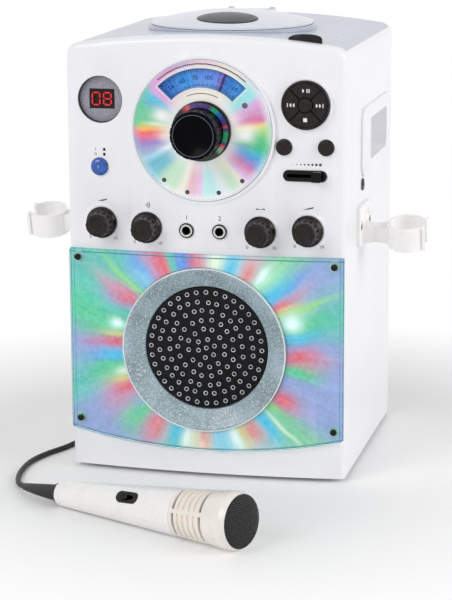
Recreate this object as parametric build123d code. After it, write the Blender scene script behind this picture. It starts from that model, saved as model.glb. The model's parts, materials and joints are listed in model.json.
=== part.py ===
from build123d import *
from math import cos, degrees, pi, radians, sin, sqrt, tan
import os

# Karaoke machine: a table-top housing with a top-loading disc drive, a tuning dial and controls on a
# bowed front, a light box round the speaker, a holder on each side and one wired microphone.
# Millimetres. +X is the machine's right as seen from the front, +Y its back, +Z up.
# The origin is the centre of its base on the floor.

# ---- Housing ----
DEPTH = 240.0            # from the front's side edges to the back
SIDE_COLUMN = 63.5       # front left of and right of the dial's disc
BASE_BAND = 35.0         # plain front between the feet and the light box's lower corners
TOP_BAND = 9.5           # plain front above the dial's disc
CROWN = 10.0             # rise of the top's arch in its middle
BOW = 8.0                # bulge of the front in its middle
WALL = 3.0
TOP_RADIUS = 12.0        # rounded corner between side and top
EDGE_RADIUS = 5.0        # rounded edge round the front
BACK_RADIUS = 4.0        # rounded upright edges at the back
FRONT_DEPTH = 12.0       # how far the front moulding wraps round
FOOT_HEIGHT = 4.0
FOOT_RADIUS = 12.0
FOOT_INSET = 26.0        # foot centre from the side walls and the back
FIT = 0.3                # clearance round a piece that drops into a hole
SEAT_GAP = 0.1           # clearance behind a piece that is screwed or glued down

# ---- Light box and speaker ----
RING_RADIUS = 75.0       # outer edge of the ring round the grille
RING_LOW_MARGIN = 4.0    # ring above the level of the cover's lower corners
RING_HIGH_MARGIN = 12.5  # ring below the cover's top
RING_WALL = 2.5
GRILLE_RADIUS = 56.0
GRILLE_THICKNESS = 3.0
GRILLE_LEDGE = 3.0       # how far the grille reaches past the speaker's hole
STUD_RADIUS = 2.2
STUD_HEIGHT = 1.5
STUD_RINGS = 6
STUD_TWIST = 20.0        # degrees that each ring of studs is turned from the one inside it
COVER_SAG = 13.5         # the cover's lower edge bulges down in the middle
COVER_THICKNESS = 3.0
COVER_CORNER_RADIUS = 3.0
COVER_SIDE_GAP = 0.6     # cover's edge inside the side walls
BOX_BORDER = 4.0         # landing for the cover round the light box
BOX_DEPTH = 13.0         # light box's floor behind the bulge's highest line
REFLECTOR_THICKNESS = 1.2
REFLECTOR_PLEATS = 24
PLEAT_WIDTH = 8.0
PLEAT_HEIGHT = 2.2
LIGHT_COUNT = 14
LIGHT_MARGIN = 9.0       # lamps outside the ring
LIGHT_RADIUS = 2.5
LIGHT_LENGTH = 7.0
COVER_SCREW_INSET = 9.0
COVER_SCREW_RADIUS = 3.0
COVER_BOSS_RADIUS = 5.0
SPEAKER_DEPTH = 46.0
MAGNET_RADIUS = 32.0

# ---- Knobs and sockets ----
SEAT_PROUD = 0.4         # flat seats stand this far out of the bowed front
SEAT_MARGIN = 1.0        # flat seat round each control
JACK_RISE = 20.5         # jack sockets above the light box's cover
JACK_SPACING = 30.0
JACK_RADIUS = 6.7        # outer ring of a jack socket
JACK_LIP = 1.6
JACK_BORE_RADIUS = 3.25  # takes a 6.35 mm plug
JACK_DEPTH = 22.0
KNOB_RISE = 22.5         # knobs above the light box's cover
KNOB_OUTER_INSET = 32.5  # outer knobs from the side walls
KNOB_INNER_X = 51.5      # inner knobs from the middle
KNOB_SKIRT_RADIUS = 14.0
KNOB_GRIP_RADIUS = 10.2
KNOB_HEIGHT = 18.0
KNOB_FLUTES = 14
SHAFT_RADIUS = 3.0
SHAFT_FIT = 0.05         # running clearance round a shaft
BUSH_RADIUS = 4.5        # nose of a potentiometer
POT_RADIUS = 8.5
POT_DEPTH = 8.0
BOARD_SETBACK = 24.0     # control board behind the bulge's highest line
BOARD_THICKNESS = 1.6
BOARD_POST_INSET = 12.0
BOARD_POST_RADIUS = 3.5

# ---- Tuning dial ----
DIAL_RISE = 26.5         # dial's disc above the jack sockets' middle
DIAL_RADIUS = 62.5
DIAL_RIM = 2.8           # seat round the disc
DIAL_SEAT_PROUD = 1.0    # seat in front of the bulge's highest line
DIAL_PROUD = 1.0         # disc in front of its seat
DIAL_THICKNESS = 2.5
DIAL_RECESS = 5.0
WINDOW_INNER = 37.5
WINDOW_OUTER = 55.0
WINDOW_HALF_ANGLE = 46.0
WINDOW_LIP = 1.5
POINTER_TIP = 53.0
POINTER_WIDTH = 1.6
POINTER_THICKNESS = 0.8
POINTER_HUB_RADIUS = 8.0
POINTER_ANGLE = 22.5     # right of upright at rest
TUNING_RING_RADIUS = 26.5
TUNING_RING_HEIGHT = 8.0
TUNING_KNOB_RADIUS = 21.0
TUNING_KNOB_HEIGHT = 24.0
TUNING_HUB_RADIUS = 9.0
TUNING_FLUTES = 18

# ---- Display and buttons, placed from the dial's edge and its middle ----
DISPLAY_OUT = 31.5
DISPLAY_UP = 24.5
DISPLAY_RADIUS = 21.0
DISPLAY_RECESS = 8.0
DISPLAY_FACE_THICKNESS = 1.5
DIGITS_WIDTH = 22.5
DIGITS_HEIGHT = 17.0
DIGIT_PITCH = 10.4
POWER_OUT = 32.5
POWER_DOWN = 35.0
POWER_RADIUS = 7.8
POWER_PROUD = 3.4
LED_OUT = 28.2
LED_DOWNS = (19.8, 24.1)
LED_RADIUS = 1.2
PAD_OUT = 29.0
PAD_UP = 24.5
PAD_RADIUS = 21.5
PAD_BUTTON_RADIUS = 18.9
PAD_CENTRE_RADIUS = 6.2
PAD_SEAM = 0.8           # gap between the pad's buttons
PAD_PROUD = 2.4
SMALL_BUTTON_OUTS = (10.0, 46.5)
SMALL_BUTTON_DOWN = 12.5
SMALL_BUTTON_RADIUS = 7.0
BUTTON_TRAVEL = 1.2
BUTTON_PROUD = 2.9
BUTTON_FLANGE = 0.8
STEM_RADIUS = 1.6
SWITCH_HEIGHT = 4.0      # switches on the control board
SWITCH_SIZE = 6.0
FADER_OUT = 28.5
FADER_DOWN = 37.3
FADER_LENGTH = 39.0
FADER_HEIGHT = 10.0
FADER_TRAVEL = 24.0
FADER_SLOT = 3.0
FADER_KNOB_LENGTH = 9.0
FADER_KNOB_HEIGHT = 6.0
FADER_REST = 11.0        # knob's place right of the slot's middle

# ---- Disc drive ----
LID_SETBACK = 22.0       # lid's rim behind the seam of the front moulding
LID_RADIUS = 74.0
LID_RISE = 10.6          # dome above its rim
LID_SKIRT = 1.6
LID_THICKNESS = 2.0
LID_GAP = 0.4            # lid above its seat
PLATFORM_PROUD = 1.0     # flat ring that the lid closes on, above the arch's highest line
PLATFORM_MARGIN = 3.0
WELL_RADIUS = 63.0       # takes a 120 mm disc
WELL_DEPTH = 17.0
WELL_WALL = 2.0
LENS_WINDOW_WIDTH = 56.0
LENS_WINDOW_LENGTH = 42.0
LENS_WINDOW_X = 5.0
LENS_WINDOW_FORWARD = 41.0
LENS_LIP = 2.5
HINGE_GAP = 6.0          # hinge axis behind the lid's rim
HINGE_BARREL_RADIUS = 3.0
HINGE_PIN_RADIUS = 1.5
HINGE_ARM_WIDTH = 34.0
HINGE_EAR_WIDTH = 5.0
HINGE_EAR_RADIUS = 4.5
HUB_RADIUS = 14.0
HUB_NOSE_RADIUS = 7.4    # inside a disc's 15 mm hole
HUB_HEIGHT = 3.0
SPINDLE_RADIUS = 1.0
MOTOR_RADIUS = 12.0
MOTOR_DEPTH = 12.0
CHASSIS_LEFT = 42.0
CHASSIS_RIGHT = 76.0
CHASSIS_LENGTH = 88.0
CHASSIS_THICKNESS = 2.0
CHASSIS_DROP = 14.0      # chassis below the well's floor
CHASSIS_POST_RADIUS = 3.0
ROD_RADIUS = 1.5
ROD_SPACING = 36.0
ROD_RISE = 3.5           # rods above the chassis
CRADLE_WIDTH = 5.0
CRADLE_LENGTH = 3.0
SLED_LENGTH = 18.0
SLED_HEIGHT = 6.0
SLED_START = 25.0        # sled's middle right of the spindle, at rest
SLED_TRAVEL = 33.0
SLED_LENS_RADIUS = 4.5
SLOT_WIDTH = 22.0
GEAR_X = 30.0
GEAR_TEETH = 14
GEAR_MODULE = 1.0
GEAR_THICKNESS = 3.0
GEAR_AXLE_RADIUS = 2.0
OPEN_BUTTON_INSET = 39.0 # from the side wall
OPEN_BUTTON_RADIUS = 15.0
OPEN_BUTTON_HEIGHT = 6.0
OPEN_TRAVEL = 3.0

# ---- Sides ----
GRIP_DROP = 92.0         # grip's middle below the top of the side walls
GRIP_LENGTH = 146.0
GRIP_HEIGHT = 63.0
GRIP_SETBACK = 73.0      # grip's front edge behind the front's side edges
GRIP_PROUD = 2.5
GRIP_RADIUS = 14.0
POCKET_LENGTH = 88.0
POCKET_HEIGHT = 38.0
POCKET_DEPTH = 22.0
POCKET_BEHIND = 7.5      # pocket's middle behind the grip's
GRIP_WALL = 2.0
AUX_BEHIND = 8.0         # socket behind the grip's front edge
AUX_RADIUS = 5.5
AUX_BORE_RADIUS = 1.8
AUX_DEPTH = 14.0
PLATE_DROP = 41.5        # holder's plate below the grip
PLATE_SETBACK = 82.0
PLATE_LENGTH = 54.0
PLATE_HEIGHT = 37.0
PLATE_THICKNESS = 3.5
PLATE_SCREW_INSET = 6.0
HOLDER_DROP = 7.0        # ring's middle below the plate's
HOLDER_FORWARD = 7.0
HOLDER_REACH = 43.0      # ring's middle out from the side wall
HOLDER_RADIUS = 18.0
HOLDER_WALL = 2.6
HOLDER_HEIGHT = 22.0
HOLDER_TILT = 14.0
HOLDER_MOUTH = 50.0      # opening angle of the ring's mouth
HOLDER_LIP = 6.4
NECK_HEIGHT = 16.0
NECK_WAIST = 8.0
NECK_FOOT = 16.0

# ---- Back and inside ----
BACK_SCREW_INSET = 8.0
SCREW_RADIUS = 3.4
SCREW_SINK = 1.4
PILOT_RADIUS = 1.4
VENT_SLOTS = 12
VENT_PITCH = 7.0
VENT_WIDTH = 3.0
VENT_LENGTH = 46.0
VENT_DROP = 72.0
SOCKET_RISE = 68.0
SOCKET_XS = (-66.0, -48.0, -30.0)
SOCKET_RADIUS = 4.15
SOCKET_BORE_RADIUS = 1.6
INLET_X = 40.0
INLET_RADIUS = 4.65
INLET_BORE_RADIUS = 2.8
INLET_PIN_RADIUS = 1.0
SOCKET_LIP = 2.0
SOCKET_TAIL = 8.0         # of a socket behind the tray's floor
SOCKET_BORE_TAIL = 6.0
SOCKET_TRAY_DEPTH = 9.0
SOCKET_TRAY_HEIGHT = 30.0
SOCKET_TRAY_MARGIN = 14.0
MAIN_BOARD_WIDTH = 160.0
MAIN_BOARD_LENGTH = 110.0
MAIN_BOARD_RISE = 5.0
MAIN_BOARD_SETBACK = 27.0
MAIN_BOARD_INSET = 8.0
SINK_DEPTH = 18.0
SINK_HEIGHT = 30.0
SINK_FIN_PITCH = 6.0
CAPACITOR_RADIUS = 7.0
CAPACITOR_HEIGHT = 26.0
CAPACITOR_PLACES = ((30.0, 20.0), (50.0, 20.0), (40.0, 48.0))  # from the board's middle and back edge

# ---- Microphone ----
MIC_TAIL_X = -101.0
MIC_TAIL_Y = -236.0
MIC_HEADING = -24.8      # degrees from +X
MIC_TAIL_RADIUS = 10.8
MIC_HEAD_RADIUS = 24.4
MIC_TAPER = 4.08         # degrees between the cone's side and its axis
MIC_WALL = 2.2
MIC_HANDLE_LENGTH = 137.0
MIC_VENT_LENGTH = 39.0
MIC_COLLAR_LENGTH = 22.0
MIC_GRILLE_RADIUS = 22.5
MIC_GRILLE_RISE = 7.0
MIC_ROLL = 38.0          # how high the switch faces
MIC_CLEARANCE = 0.3
MIC_VENT_PANELS = 5
MIC_VENT_RIBS = 6
MIC_VENT_HALF_ANGLE = 31.0
SWITCH_CENTRE = 88.0
SWITCH_TRAVEL = 6.0
SWITCH_PLATE_LENGTH = 24.0
SWITCH_PLATE_WIDTH = 10.0
BOOT_LENGTH = 52.0
BOOT_BEND = 24.0         # degrees that the boot turns towards the machine
BOOT_RADIUS = 7.6
BOOT_TIP_RADIUS = 3.2
BOOT_HOLE_RADIUS = 4.2

# ---- Microphone cord ----
CORD_RADIUS = 2.4
CORD_CLEARANCE = 0.1     # above the floor
COIL_X = -62.0
COIL_Y = 168.0
COIL_OUTER_RADIUS = 38.0
COIL_INNER_RADIUS = 17.0
COIL_HEIGHT = 20.0
COIL_ROUNDING = 2.0
PLUG_RADIUS = 3.17
PLUG_BARREL_RADIUS = 6.5
PLUG_OFFSET_X = 28.0     # tail of the plug from the coil's middle
PLUG_OFFSET_Y = 34.0

# ---- Worked out from the sizes above ----
WIDTH = 2 * (DIAL_RADIUS + SIDE_COLUMN)
SIDE_X = WIDTH / 2
FRONT_Y = -DEPTH / 2
BACK_Y = DEPTH / 2
APEX_Y = FRONT_Y - BOW
BOW_RADIUS = (SIDE_X ** 2 + BOW ** 2) / (2 * BOW)
SEAM_Y = FRONT_Y + FRONT_DEPTH
BACK_SEAM_Y = BACK_Y - WALL
FLOOR_TOP = FOOT_HEIGHT + WALL
SIDE_SEAM_X = SIDE_X - 2 * BACK_SCREW_INSET    # sides meet the deck and the base clear of the posts
COVER_CORNER_Z = FOOT_HEIGHT + BASE_BAND
SPEAKER_Z = COVER_CORNER_Z + RING_LOW_MARGIN + RING_RADIUS
COVER_TOP = SPEAKER_Z + RING_RADIUS + RING_HIGH_MARGIN
BOX_FLOOR_Y = APEX_Y + BOX_DEPTH
SPEAKER_HOLE_RADIUS = GRILLE_RADIUS - GRILLE_LEDGE
LIGHT_CIRCLE_RADIUS = RING_RADIUS + LIGHT_MARGIN
JACK_Z = COVER_TOP + JACK_RISE
DIAL_Z = JACK_Z + DIAL_RISE + DIAL_RADIUS
SIDE_HEIGHT = DIAL_Z + DIAL_RADIUS + TOP_BAND
TOP_Z = SIDE_HEIGHT + CROWN
CROWN_RADIUS = (SIDE_X ** 2 + CROWN ** 2) / (2 * CROWN)
KNOB_Z = COVER_TOP + KNOB_RISE
KNOB_OUTER_X = SIDE_X - KNOB_OUTER_INSET
KNOBS = {"mic_volume_knob": (-KNOB_OUTER_X, KNOB_Z + 2.0), "echo_knob": (-KNOB_INNER_X, KNOB_Z - 0.6),
         "balance_knob": (KNOB_INNER_X, KNOB_Z - 1.0), "volume_knob": (KNOB_OUTER_X, KNOB_Z + 1.0)}
BOARD_Y = APEX_Y + BOARD_SETBACK
BOARD_LOW = COVER_TOP + 2.0
BOARD_HIGH = TOP_Z - 30.0
DIAL_SEAT_Y = APEX_Y - DIAL_SEAT_PROUD
DIAL_FACE_Y = DIAL_SEAT_Y - DIAL_PROUD
DIAL_BACK_Y = DIAL_FACE_Y + DIAL_THICKNESS
DIAL_FLOOR_Y = DIAL_SEAT_Y + DIAL_RECESS
DISPLAY_X = -(DIAL_RADIUS + DISPLAY_OUT)
DISPLAY_Z = DIAL_Z + DISPLAY_UP
POWER_X = -(DIAL_RADIUS + POWER_OUT)
POWER_Z = DIAL_Z - POWER_DOWN
LED_X = -(DIAL_RADIUS + LED_OUT)
LED_ZS = [DIAL_Z - down for down in LED_DOWNS]
PAD_X = DIAL_RADIUS + PAD_OUT
PAD_Z = DIAL_Z + PAD_UP
SMALL_BUTTON_XS = [DIAL_RADIUS + out for out in SMALL_BUTTON_OUTS]
SMALL_BUTTON_Z = DIAL_Z - SMALL_BUTTON_DOWN
FADER_X = DIAL_RADIUS + FADER_OUT
FADER_Z = DIAL_Z - FADER_DOWN
PLATFORM_TOP = TOP_Z + PLATFORM_PROUD
WELL_Y = SEAM_Y + LID_SETBACK + LID_RADIUS
WELL_FLOOR_Z = PLATFORM_TOP - WELL_DEPTH
LID_RIM_Z = PLATFORM_TOP + LID_GAP
HINGE_Y = WELL_Y + LID_RADIUS + HINGE_GAP
HINGE_Z = LID_RIM_Z + HINGE_BARREL_RADIUS
CHASSIS_Z = WELL_FLOOR_Z - CHASSIS_DROP
ROD_Z = CHASSIS_Z + CHASSIS_THICKNESS + ROD_RISE
SLED_HALF_WIDTH = ROD_SPACING / 2 + 3.0
GEAR_PITCH_RADIUS = GEAR_MODULE * GEAR_TEETH / 2
RACK_ADDENDUM = 0.85 * GEAR_MODULE
RACK_DEDENDUM = 1.15 * GEAR_MODULE
RACK_BAR = 3.0
RACK_PITCH_Y = WELL_Y + SLED_HALF_WIDTH + RACK_BAR + RACK_DEDENDUM
GEAR_Y = RACK_PITCH_Y + GEAR_PITCH_RADIUS
OPEN_BUTTON_X = SIDE_X - OPEN_BUTTON_INSET
GRIP_Y = FRONT_Y + GRIP_SETBACK + GRIP_LENGTH / 2
GRIP_Z = SIDE_HEIGHT - GRIP_DROP
POCKET_Y = GRIP_Y + POCKET_BEHIND
AUX_Y = GRIP_Y - GRIP_LENGTH / 2 + AUX_BEHIND
AUX_Z = GRIP_Z - GRIP_HEIGHT / 2 - AUX_RADIUS - 0.5
PLATE_Y = FRONT_Y + PLATE_SETBACK
PLATE_Z = GRIP_Z - GRIP_HEIGHT / 2 - PLATE_DROP
HOLDER_Y = PLATE_Y - HOLDER_FORWARD
HOLDER_Z = PLATE_Z - HOLDER_DROP
VENT_Z = SIDE_HEIGHT - VENT_DROP
SOCKET_Z = FOOT_HEIGHT + SOCKET_RISE
SOCKET_FLOOR_Y = BACK_Y - SOCKET_TRAY_DEPTH + WALL
CORD_Z = CORD_RADIUS + CORD_CLEARANCE
INFINITE = 600.0         # longer than the machine, for cuts that run right through


# ---- Helpers ----
def bow_y(x, stand_off=0.0):
    """Y of the bowed front at x, moved out of the face by stand_off."""
    centre_y = APEX_Y + BOW_RADIUS
    return centre_y - sqrt((BOW_RADIUS + stand_off) ** 2 - x ** 2)


def deck_z(x):
    """Height of the arched top at x."""
    return TOP_Z - (CROWN_RADIUS - sqrt(CROWN_RADIUS ** 2 - x ** 2))


def block(x_range, y_range, z_range):
    """Box between two corners."""
    size = [high - low for low, high in (x_range, y_range, z_range)]
    middle = [(high + low) / 2 for low, high in (x_range, y_range, z_range)]
    return Pos(*middle) * Box(*size)


def post(radius, x, y, z_range):
    """Upright cylinder."""
    return Pos(x, y, sum(z_range) / 2) * Cylinder(radius, z_range[1] - z_range[0])


def rod_y(radius, x, z, y_range):
    """Cylinder along Y."""
    return Pos(x, sum(y_range) / 2, z) * Rot(90, 0, 0) * Cylinder(radius, y_range[1] - y_range[0])


def rod_x(radius, y, z, x_range):
    """Cylinder along X."""
    return Pos(sum(x_range) / 2, y, z) * Rot(0, 90, 0) * Cylinder(radius, x_range[1] - x_range[0])


def disc(radius, low, high):
    """Cylinder about the local Z axis between two heights."""
    return Pos(0, 0, (low + high) / 2) * Cylinder(radius, high - low)


def facing_front(x, y, z):
    """Local frame whose +Z points out of the front and whose +Y points up."""
    return Pos(x, y, z) * Rot(90, 0, 0)


def turned(*points):
    """Solid of revolution about local Z from (radius, height) points."""
    return revolve(make_face(Polyline(*[(r, 0, h) for r, h in points], close=True)), axis=Axis.Z)


def sector(inner, outer, start, end, height):
    """Ring sector on the XY plane, raised to height; angles in degrees from +X."""
    first, last = radians(start), radians(end)
    middle = (first + last) / 2
    inner_arc = ThreePointArc(*[(inner * cos(t), inner * sin(t)) for t in (first, middle, last)])
    outer_arc = ThreePointArc(*[(outer * cos(t), outer * sin(t)) for t in (last, middle, first)])
    sides = Line(inner_arc @ 1, outer_arc @ 0) + Line(outer_arc @ 1, inner_arc @ 0)
    return extrude(make_face(inner_arc + outer_arc + sides), height)


def group(*parts):
    """Several separate solids that make one node."""
    return Compound([solid for part in parts for solid in part.solids()])


def mirrored(shape):
    """The same shape on the machine's other side."""
    return mirror(shape, about=Plane.YZ)


def slab_y(y_low, y_high):
    """Everything between two planes across the depth."""
    return block((-INFINITE, INFINITE), (y_low, y_high), (-INFINITE, INFINITE))


# ---- Housing ----
def plan_outline(inset):
    """Footprint of the housing: bowed front, flat back with rounded corners."""
    front = ThreePointArc((-SIDE_X, FRONT_Y), (0, APEX_Y), (SIDE_X, FRONT_Y))
    right = Line((SIDE_X, FRONT_Y), (SIDE_X, BACK_Y))
    back = Line((SIDE_X, BACK_Y), (-SIDE_X, BACK_Y))
    left = Line((-SIDE_X, BACK_Y), (-SIDE_X, FRONT_Y))
    face = make_face(front + right + back + left)
    face = fillet(face.vertices().group_by(Axis.Y)[-1], BACK_RADIUS)
    return offset(face, amount=-inset) if inset else face


def front_profile(inset):
    """Outline of the housing from the front: straight sides under an arched top."""
    top = ThreePointArc((-SIDE_X, SIDE_HEIGHT), (0, TOP_Z), (SIDE_X, SIDE_HEIGHT))
    right = Line((SIDE_X, SIDE_HEIGHT), (SIDE_X, FOOT_HEIGHT))
    bottom = Line((SIDE_X, FOOT_HEIGHT), (-SIDE_X, FOOT_HEIGHT))
    left = Line((-SIDE_X, FOOT_HEIGHT), (-SIDE_X, SIDE_HEIGHT))
    face = make_face(top + right + bottom + left)
    face = fillet(face.vertices().group_by(Axis.Y)[-1], TOP_RADIUS)
    return offset(face, amount=-inset) if inset else face


def arched_column(inset):
    """The housing's front outline run along the whole depth."""
    return Rot(90, 0, 0) * extrude(front_profile(inset), INFINITE, both=True)


def housing_form(inset=0.0):
    """Solid inside the housing's surface, moved in by inset; the outer one has a rounded front."""
    form = extrude(plan_outline(inset), INFINITE) & arched_column(inset)
    if inset:
        return form
    bowed_face = form.faces().sort_by(Axis.Y)[0]
    edges = [edge for edge in bowed_face.edges() if edge.center().Z > FOOT_HEIGHT + WALL]
    return fillet(edges, EDGE_RADIUS)


def housing_skin(y_low, y_high):
    """The housing's wall between two planes across the depth."""
    return (housing_form() - housing_form(WALL)) & slab_y(y_low, y_high)


def bow_column(stand_off):
    """Everything behind the bowed front moved out by stand_off."""
    return post(BOW_RADIUS + stand_off, 0, APEX_Y + BOW_RADIUS, (0, TOP_Z + CROWN))


def seat_front(x, radius):
    """Front face of the flat seat round a control at x."""
    return bow_y(max(abs(x) - radius - SEAT_MARGIN, 0)) - SEAT_PROUD


def seat_back(x, radius):
    """Back face of the flat seat round a control at x."""
    return bow_y(abs(x) + radius + SEAT_MARGIN) + WALL


def seat_block(x, z, radius):
    """Round thickening of the front that gives a control a flat seat."""
    return rod_y(radius + SEAT_MARGIN, x, z, (seat_front(x, radius), seat_back(x, radius)))


def cover_outline(inset):
    """Front view of the clear cover: square top, lower edge bulging down."""
    half = SIDE_X - COVER_SIDE_GAP
    low = ThreePointArc((-half, COVER_CORNER_Z), (0, COVER_CORNER_Z - COVER_SAG), (half, COVER_CORNER_Z))
    right = Line((half, COVER_CORNER_Z), (half, COVER_TOP))
    top = Line((half, COVER_TOP), (-half, COVER_TOP))
    left = Line((-half, COVER_TOP), (-half, COVER_CORNER_Z))
    face = make_face(low + right + top + left)
    face = fillet(face.vertices(), COVER_CORNER_RADIUS)
    return offset(face, amount=-inset) if inset else face


def cover_column(inset, y_low, y_high):
    """The cover's outline run along Y between two planes."""
    return Pos(0, y_high, 0) * Rot(90, 0, 0) * extrude(cover_outline(inset), y_high - y_low)


def cover_screw_places():
    """Centres of the four screws of the cover."""
    side = SIDE_X - COVER_SCREW_INSET
    return [(x, z) for x in (-side, side) for z in (COVER_CORNER_Z + COVER_SCREW_INSET,
                                                    COVER_TOP - COVER_SCREW_INSET + 1)]


def jack_places():
    """X of the two jack sockets."""
    return (-JACK_SPACING / 2, JACK_SPACING / 2)


def fader_front():
    """Front face of the fader's flat seat."""
    return bow_y(FADER_X - FADER_LENGTH / 2 - SEAT_MARGIN) - SEAT_PROUD


def fader_back():
    """Back face of the fader's flat seat."""
    return bow_y(FADER_X + FADER_LENGTH / 2 + SEAT_MARGIN) + WALL


def fader_column(height, length, y_low, y_high):
    """Long shape of the fader, rounded at its ends, run along Y."""
    outline = SlotOverall(length, height)
    return Pos(FADER_X, y_high, FADER_Z) * Rot(90, 0, 0) * extrude(outline, y_high - y_low)


def light_box_block():
    """Block that the light box is hollowed from, with a square landing for the cover."""
    return cover_column(0, APEX_Y, BOX_FLOOR_Y + WALL) & bow_column(0)


def light_box_hollow():
    """Room inside the light box, round the bosses of the cover's screws."""
    hollow = cover_column(BOX_BORDER, APEX_Y - WALL, BOX_FLOOR_Y)
    deep = (APEX_Y - 2 * WALL, SEAM_Y)
    return hollow - [rod_y(COVER_BOSS_RADIUS, x, z, deep) for x, z in cover_screw_places()]


def front_seats():
    """Flat seats, the dial's boss and the display's cup."""
    seats = [seat_block(x, z, KNOB_SKIRT_RADIUS) for x, z in KNOBS.values()]
    seats += [seat_block(x, JACK_Z, JACK_RADIUS) for x in jack_places()]
    seats += [seat_block(x, SMALL_BUTTON_Z, SMALL_BUTTON_RADIUS) for x in SMALL_BUTTON_XS]
    seats.append(seat_block(PAD_X, PAD_Z, PAD_RADIUS))
    seats.append(seat_block(POWER_X, POWER_Z, POWER_RADIUS))
    seats.append(rod_y(DIAL_RADIUS + DIAL_RIM, 0, DIAL_Z, (DIAL_SEAT_Y, DIAL_FLOOR_Y + WALL)))
    cup = (bow_y(DISPLAY_X) + WALL / 2, display_floor() + WALL)
    seats.append(rod_y(DISPLAY_RADIUS + WALL, DISPLAY_X, DISPLAY_Z, cup))
    seats.append(fader_column(FADER_HEIGHT + 2 * SEAT_MARGIN, FADER_LENGTH + 2 * SEAT_MARGIN,
                              fader_front(), fader_back()))
    return seats


def front_holes():
    """Every hole and recess that the controls need."""
    ahead = APEX_Y - 2 * WALL
    through = (ahead, SEAM_Y)
    holes = [rod_y(BUSH_RADIUS + SHAFT_FIT, x, z, through) for x, z in KNOBS.values()]
    holes += [rod_y(JACK_RADIUS - 1, x, JACK_Z, through) for x in jack_places()]
    holes += [rod_y(SMALL_BUTTON_RADIUS + FIT, x, SMALL_BUTTON_Z, through) for x in SMALL_BUTTON_XS]
    holes.append(rod_y(PAD_RADIUS - 1, PAD_X, PAD_Z, through))
    holes.append(rod_y(POWER_RADIUS + FIT, POWER_X, POWER_Z, through))
    holes += [rod_y(LED_RADIUS + SHAFT_FIT, LED_X, z, through) for z in LED_ZS]
    holes.append(rod_y(DISPLAY_RADIUS, DISPLAY_X, DISPLAY_Z, (ahead, display_floor())))
    holes.append(digits_block(FIT, display_floor() - WALL, SEAM_Y))
    holes.append(rod_y(DIAL_RADIUS + FIT, 0, DIAL_Z, (ahead, DIAL_FLOOR_Y)))
    holes.append(rod_y(BUSH_RADIUS + SHAFT_FIT, 0, DIAL_Z, through))
    holes.append(fader_column(FADER_HEIGHT - 2, FADER_LENGTH - 2, *through))
    return holes


def board_post_places():
    """Centres of the posts that carry the control board."""
    side = SIDE_X - BOARD_POST_INSET
    return [(x, z) for x in (-side, side) for z in (BOARD_LOW + BOARD_POST_RADIUS,
                                                    BOARD_HIGH - 2 * BOARD_POST_RADIUS)]


def front_panel():
    """Bowed front moulding with its seats, the dial's recess and the light box."""
    panel = housing_skin(APEX_Y - WALL, SEAM_Y) + front_seats() + light_box_block() - light_box_hollow()
    panel += [rod_y(BOARD_POST_RADIUS, x, z, (bow_y(x) + WALL / 2, BOARD_Y)) for x, z in board_post_places()]
    panel -= front_holes()
    panel -= [rod_y(PILOT_RADIUS, x, z, (APEX_Y, BOX_FLOOR_Y)) for x, z in cover_screw_places()]
    panel -= [rod_y(PILOT_RADIUS, x, z, (bow_y(x) + 2 * WALL, BOARD_Y)) for x, z in board_post_places()]
    return panel - rod_y(SPEAKER_HOLE_RADIUS, 0, SPEAKER_Z, (APEX_Y, SEAM_Y))


def back_screw_places():
    """Centres of the screws that hold the back panel."""
    side = SIDE_X - BACK_SCREW_INSET
    heights = (FOOT_HEIGHT + BACK_SCREW_INSET, SIDE_HEIGHT / 2, SIDE_HEIGHT - BACK_SCREW_INSET)
    return [(x, z) for x in (-side, side) for z in heights]


def foot_places():
    """Centres of the four feet."""
    x = SIDE_X - FOOT_INSET
    return [(side * x, y) for side in (-1, 1) for y in (FRONT_Y + FOOT_INSET, BACK_Y - FOOT_INSET)]


def hinge_ears():
    """Two ears on the deck that hold the lid's pins."""
    ears = []
    for side in (-1, 1):
        inner = side * (HINGE_ARM_WIDTH / 2 + FIT)
        outer = side * (HINGE_ARM_WIDTH / 2 + FIT + HINGE_EAR_WIDTH)
        x_range = (min(inner, outer), max(inner, outer))
        y_range = (HINGE_Y - HINGE_EAR_RADIUS, HINGE_Y + HINGE_EAR_RADIUS)
        ear = block(x_range, y_range, (TOP_Z - WALL, HINGE_Z))
        ear += rod_x(HINGE_EAR_RADIUS, HINGE_Y, HINGE_Z, x_range)
        ears.append(ear - rod_x(HINGE_PIN_RADIUS + SHAFT_FIT, HINGE_Y, HINGE_Z, x_range))
    return ears


def cabinet():
    """Two sides with the back's screw posts, and between them the base and the deck with its ears."""
    sleeve = housing_skin(SEAM_Y, BACK_SEAM_Y) + hinge_ears()
    inside = housing_form(WALL / 2)
    for x, z in back_screw_places():
        radius = BACK_SCREW_INSET - WALL + 0.5
        sleeve += rod_y(radius, x, z, (BACK_SEAM_Y - 22, BACK_SEAM_Y)) & inside
        sleeve -= rod_y(PILOT_RADIUS, x, z, (BACK_SEAM_Y - 18, BACK_SEAM_Y))
    sleeve -= post(WELL_RADIUS + WELL_WALL + FIT, 0, WELL_Y, (SIDE_HEIGHT / 2, INFINITE))
    pocket = pocket_block(GRIP_WALL + FIT, WALL + POCKET_DEPTH)
    sleeve -= [pocket, mirrored(pocket)]
    sleeve -= rod_x(AUX_RADIUS - 1, AUX_Y, AUX_Z, (SIDE_X - 2 * WALL, SIDE_X + WALL))
    sleeve -= [rod_x(PILOT_RADIUS, y, z, (-SIDE_X, SIDE_X)) for y, z in holder_screw_places()]
    sleeve -= [post(PILOT_RADIUS, x, y, (0, 2 * FLOOR_TOP)) for x, y in foot_places()]
    for seam in (-SIDE_SEAM_X, SIDE_SEAM_X):
        sleeve -= block((seam - SEAT_GAP / 2, seam + SEAT_GAP / 2), (-INFINITE, INFINITE), (0, INFINITE))
    return group(sleeve - open_button_hole())


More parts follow.
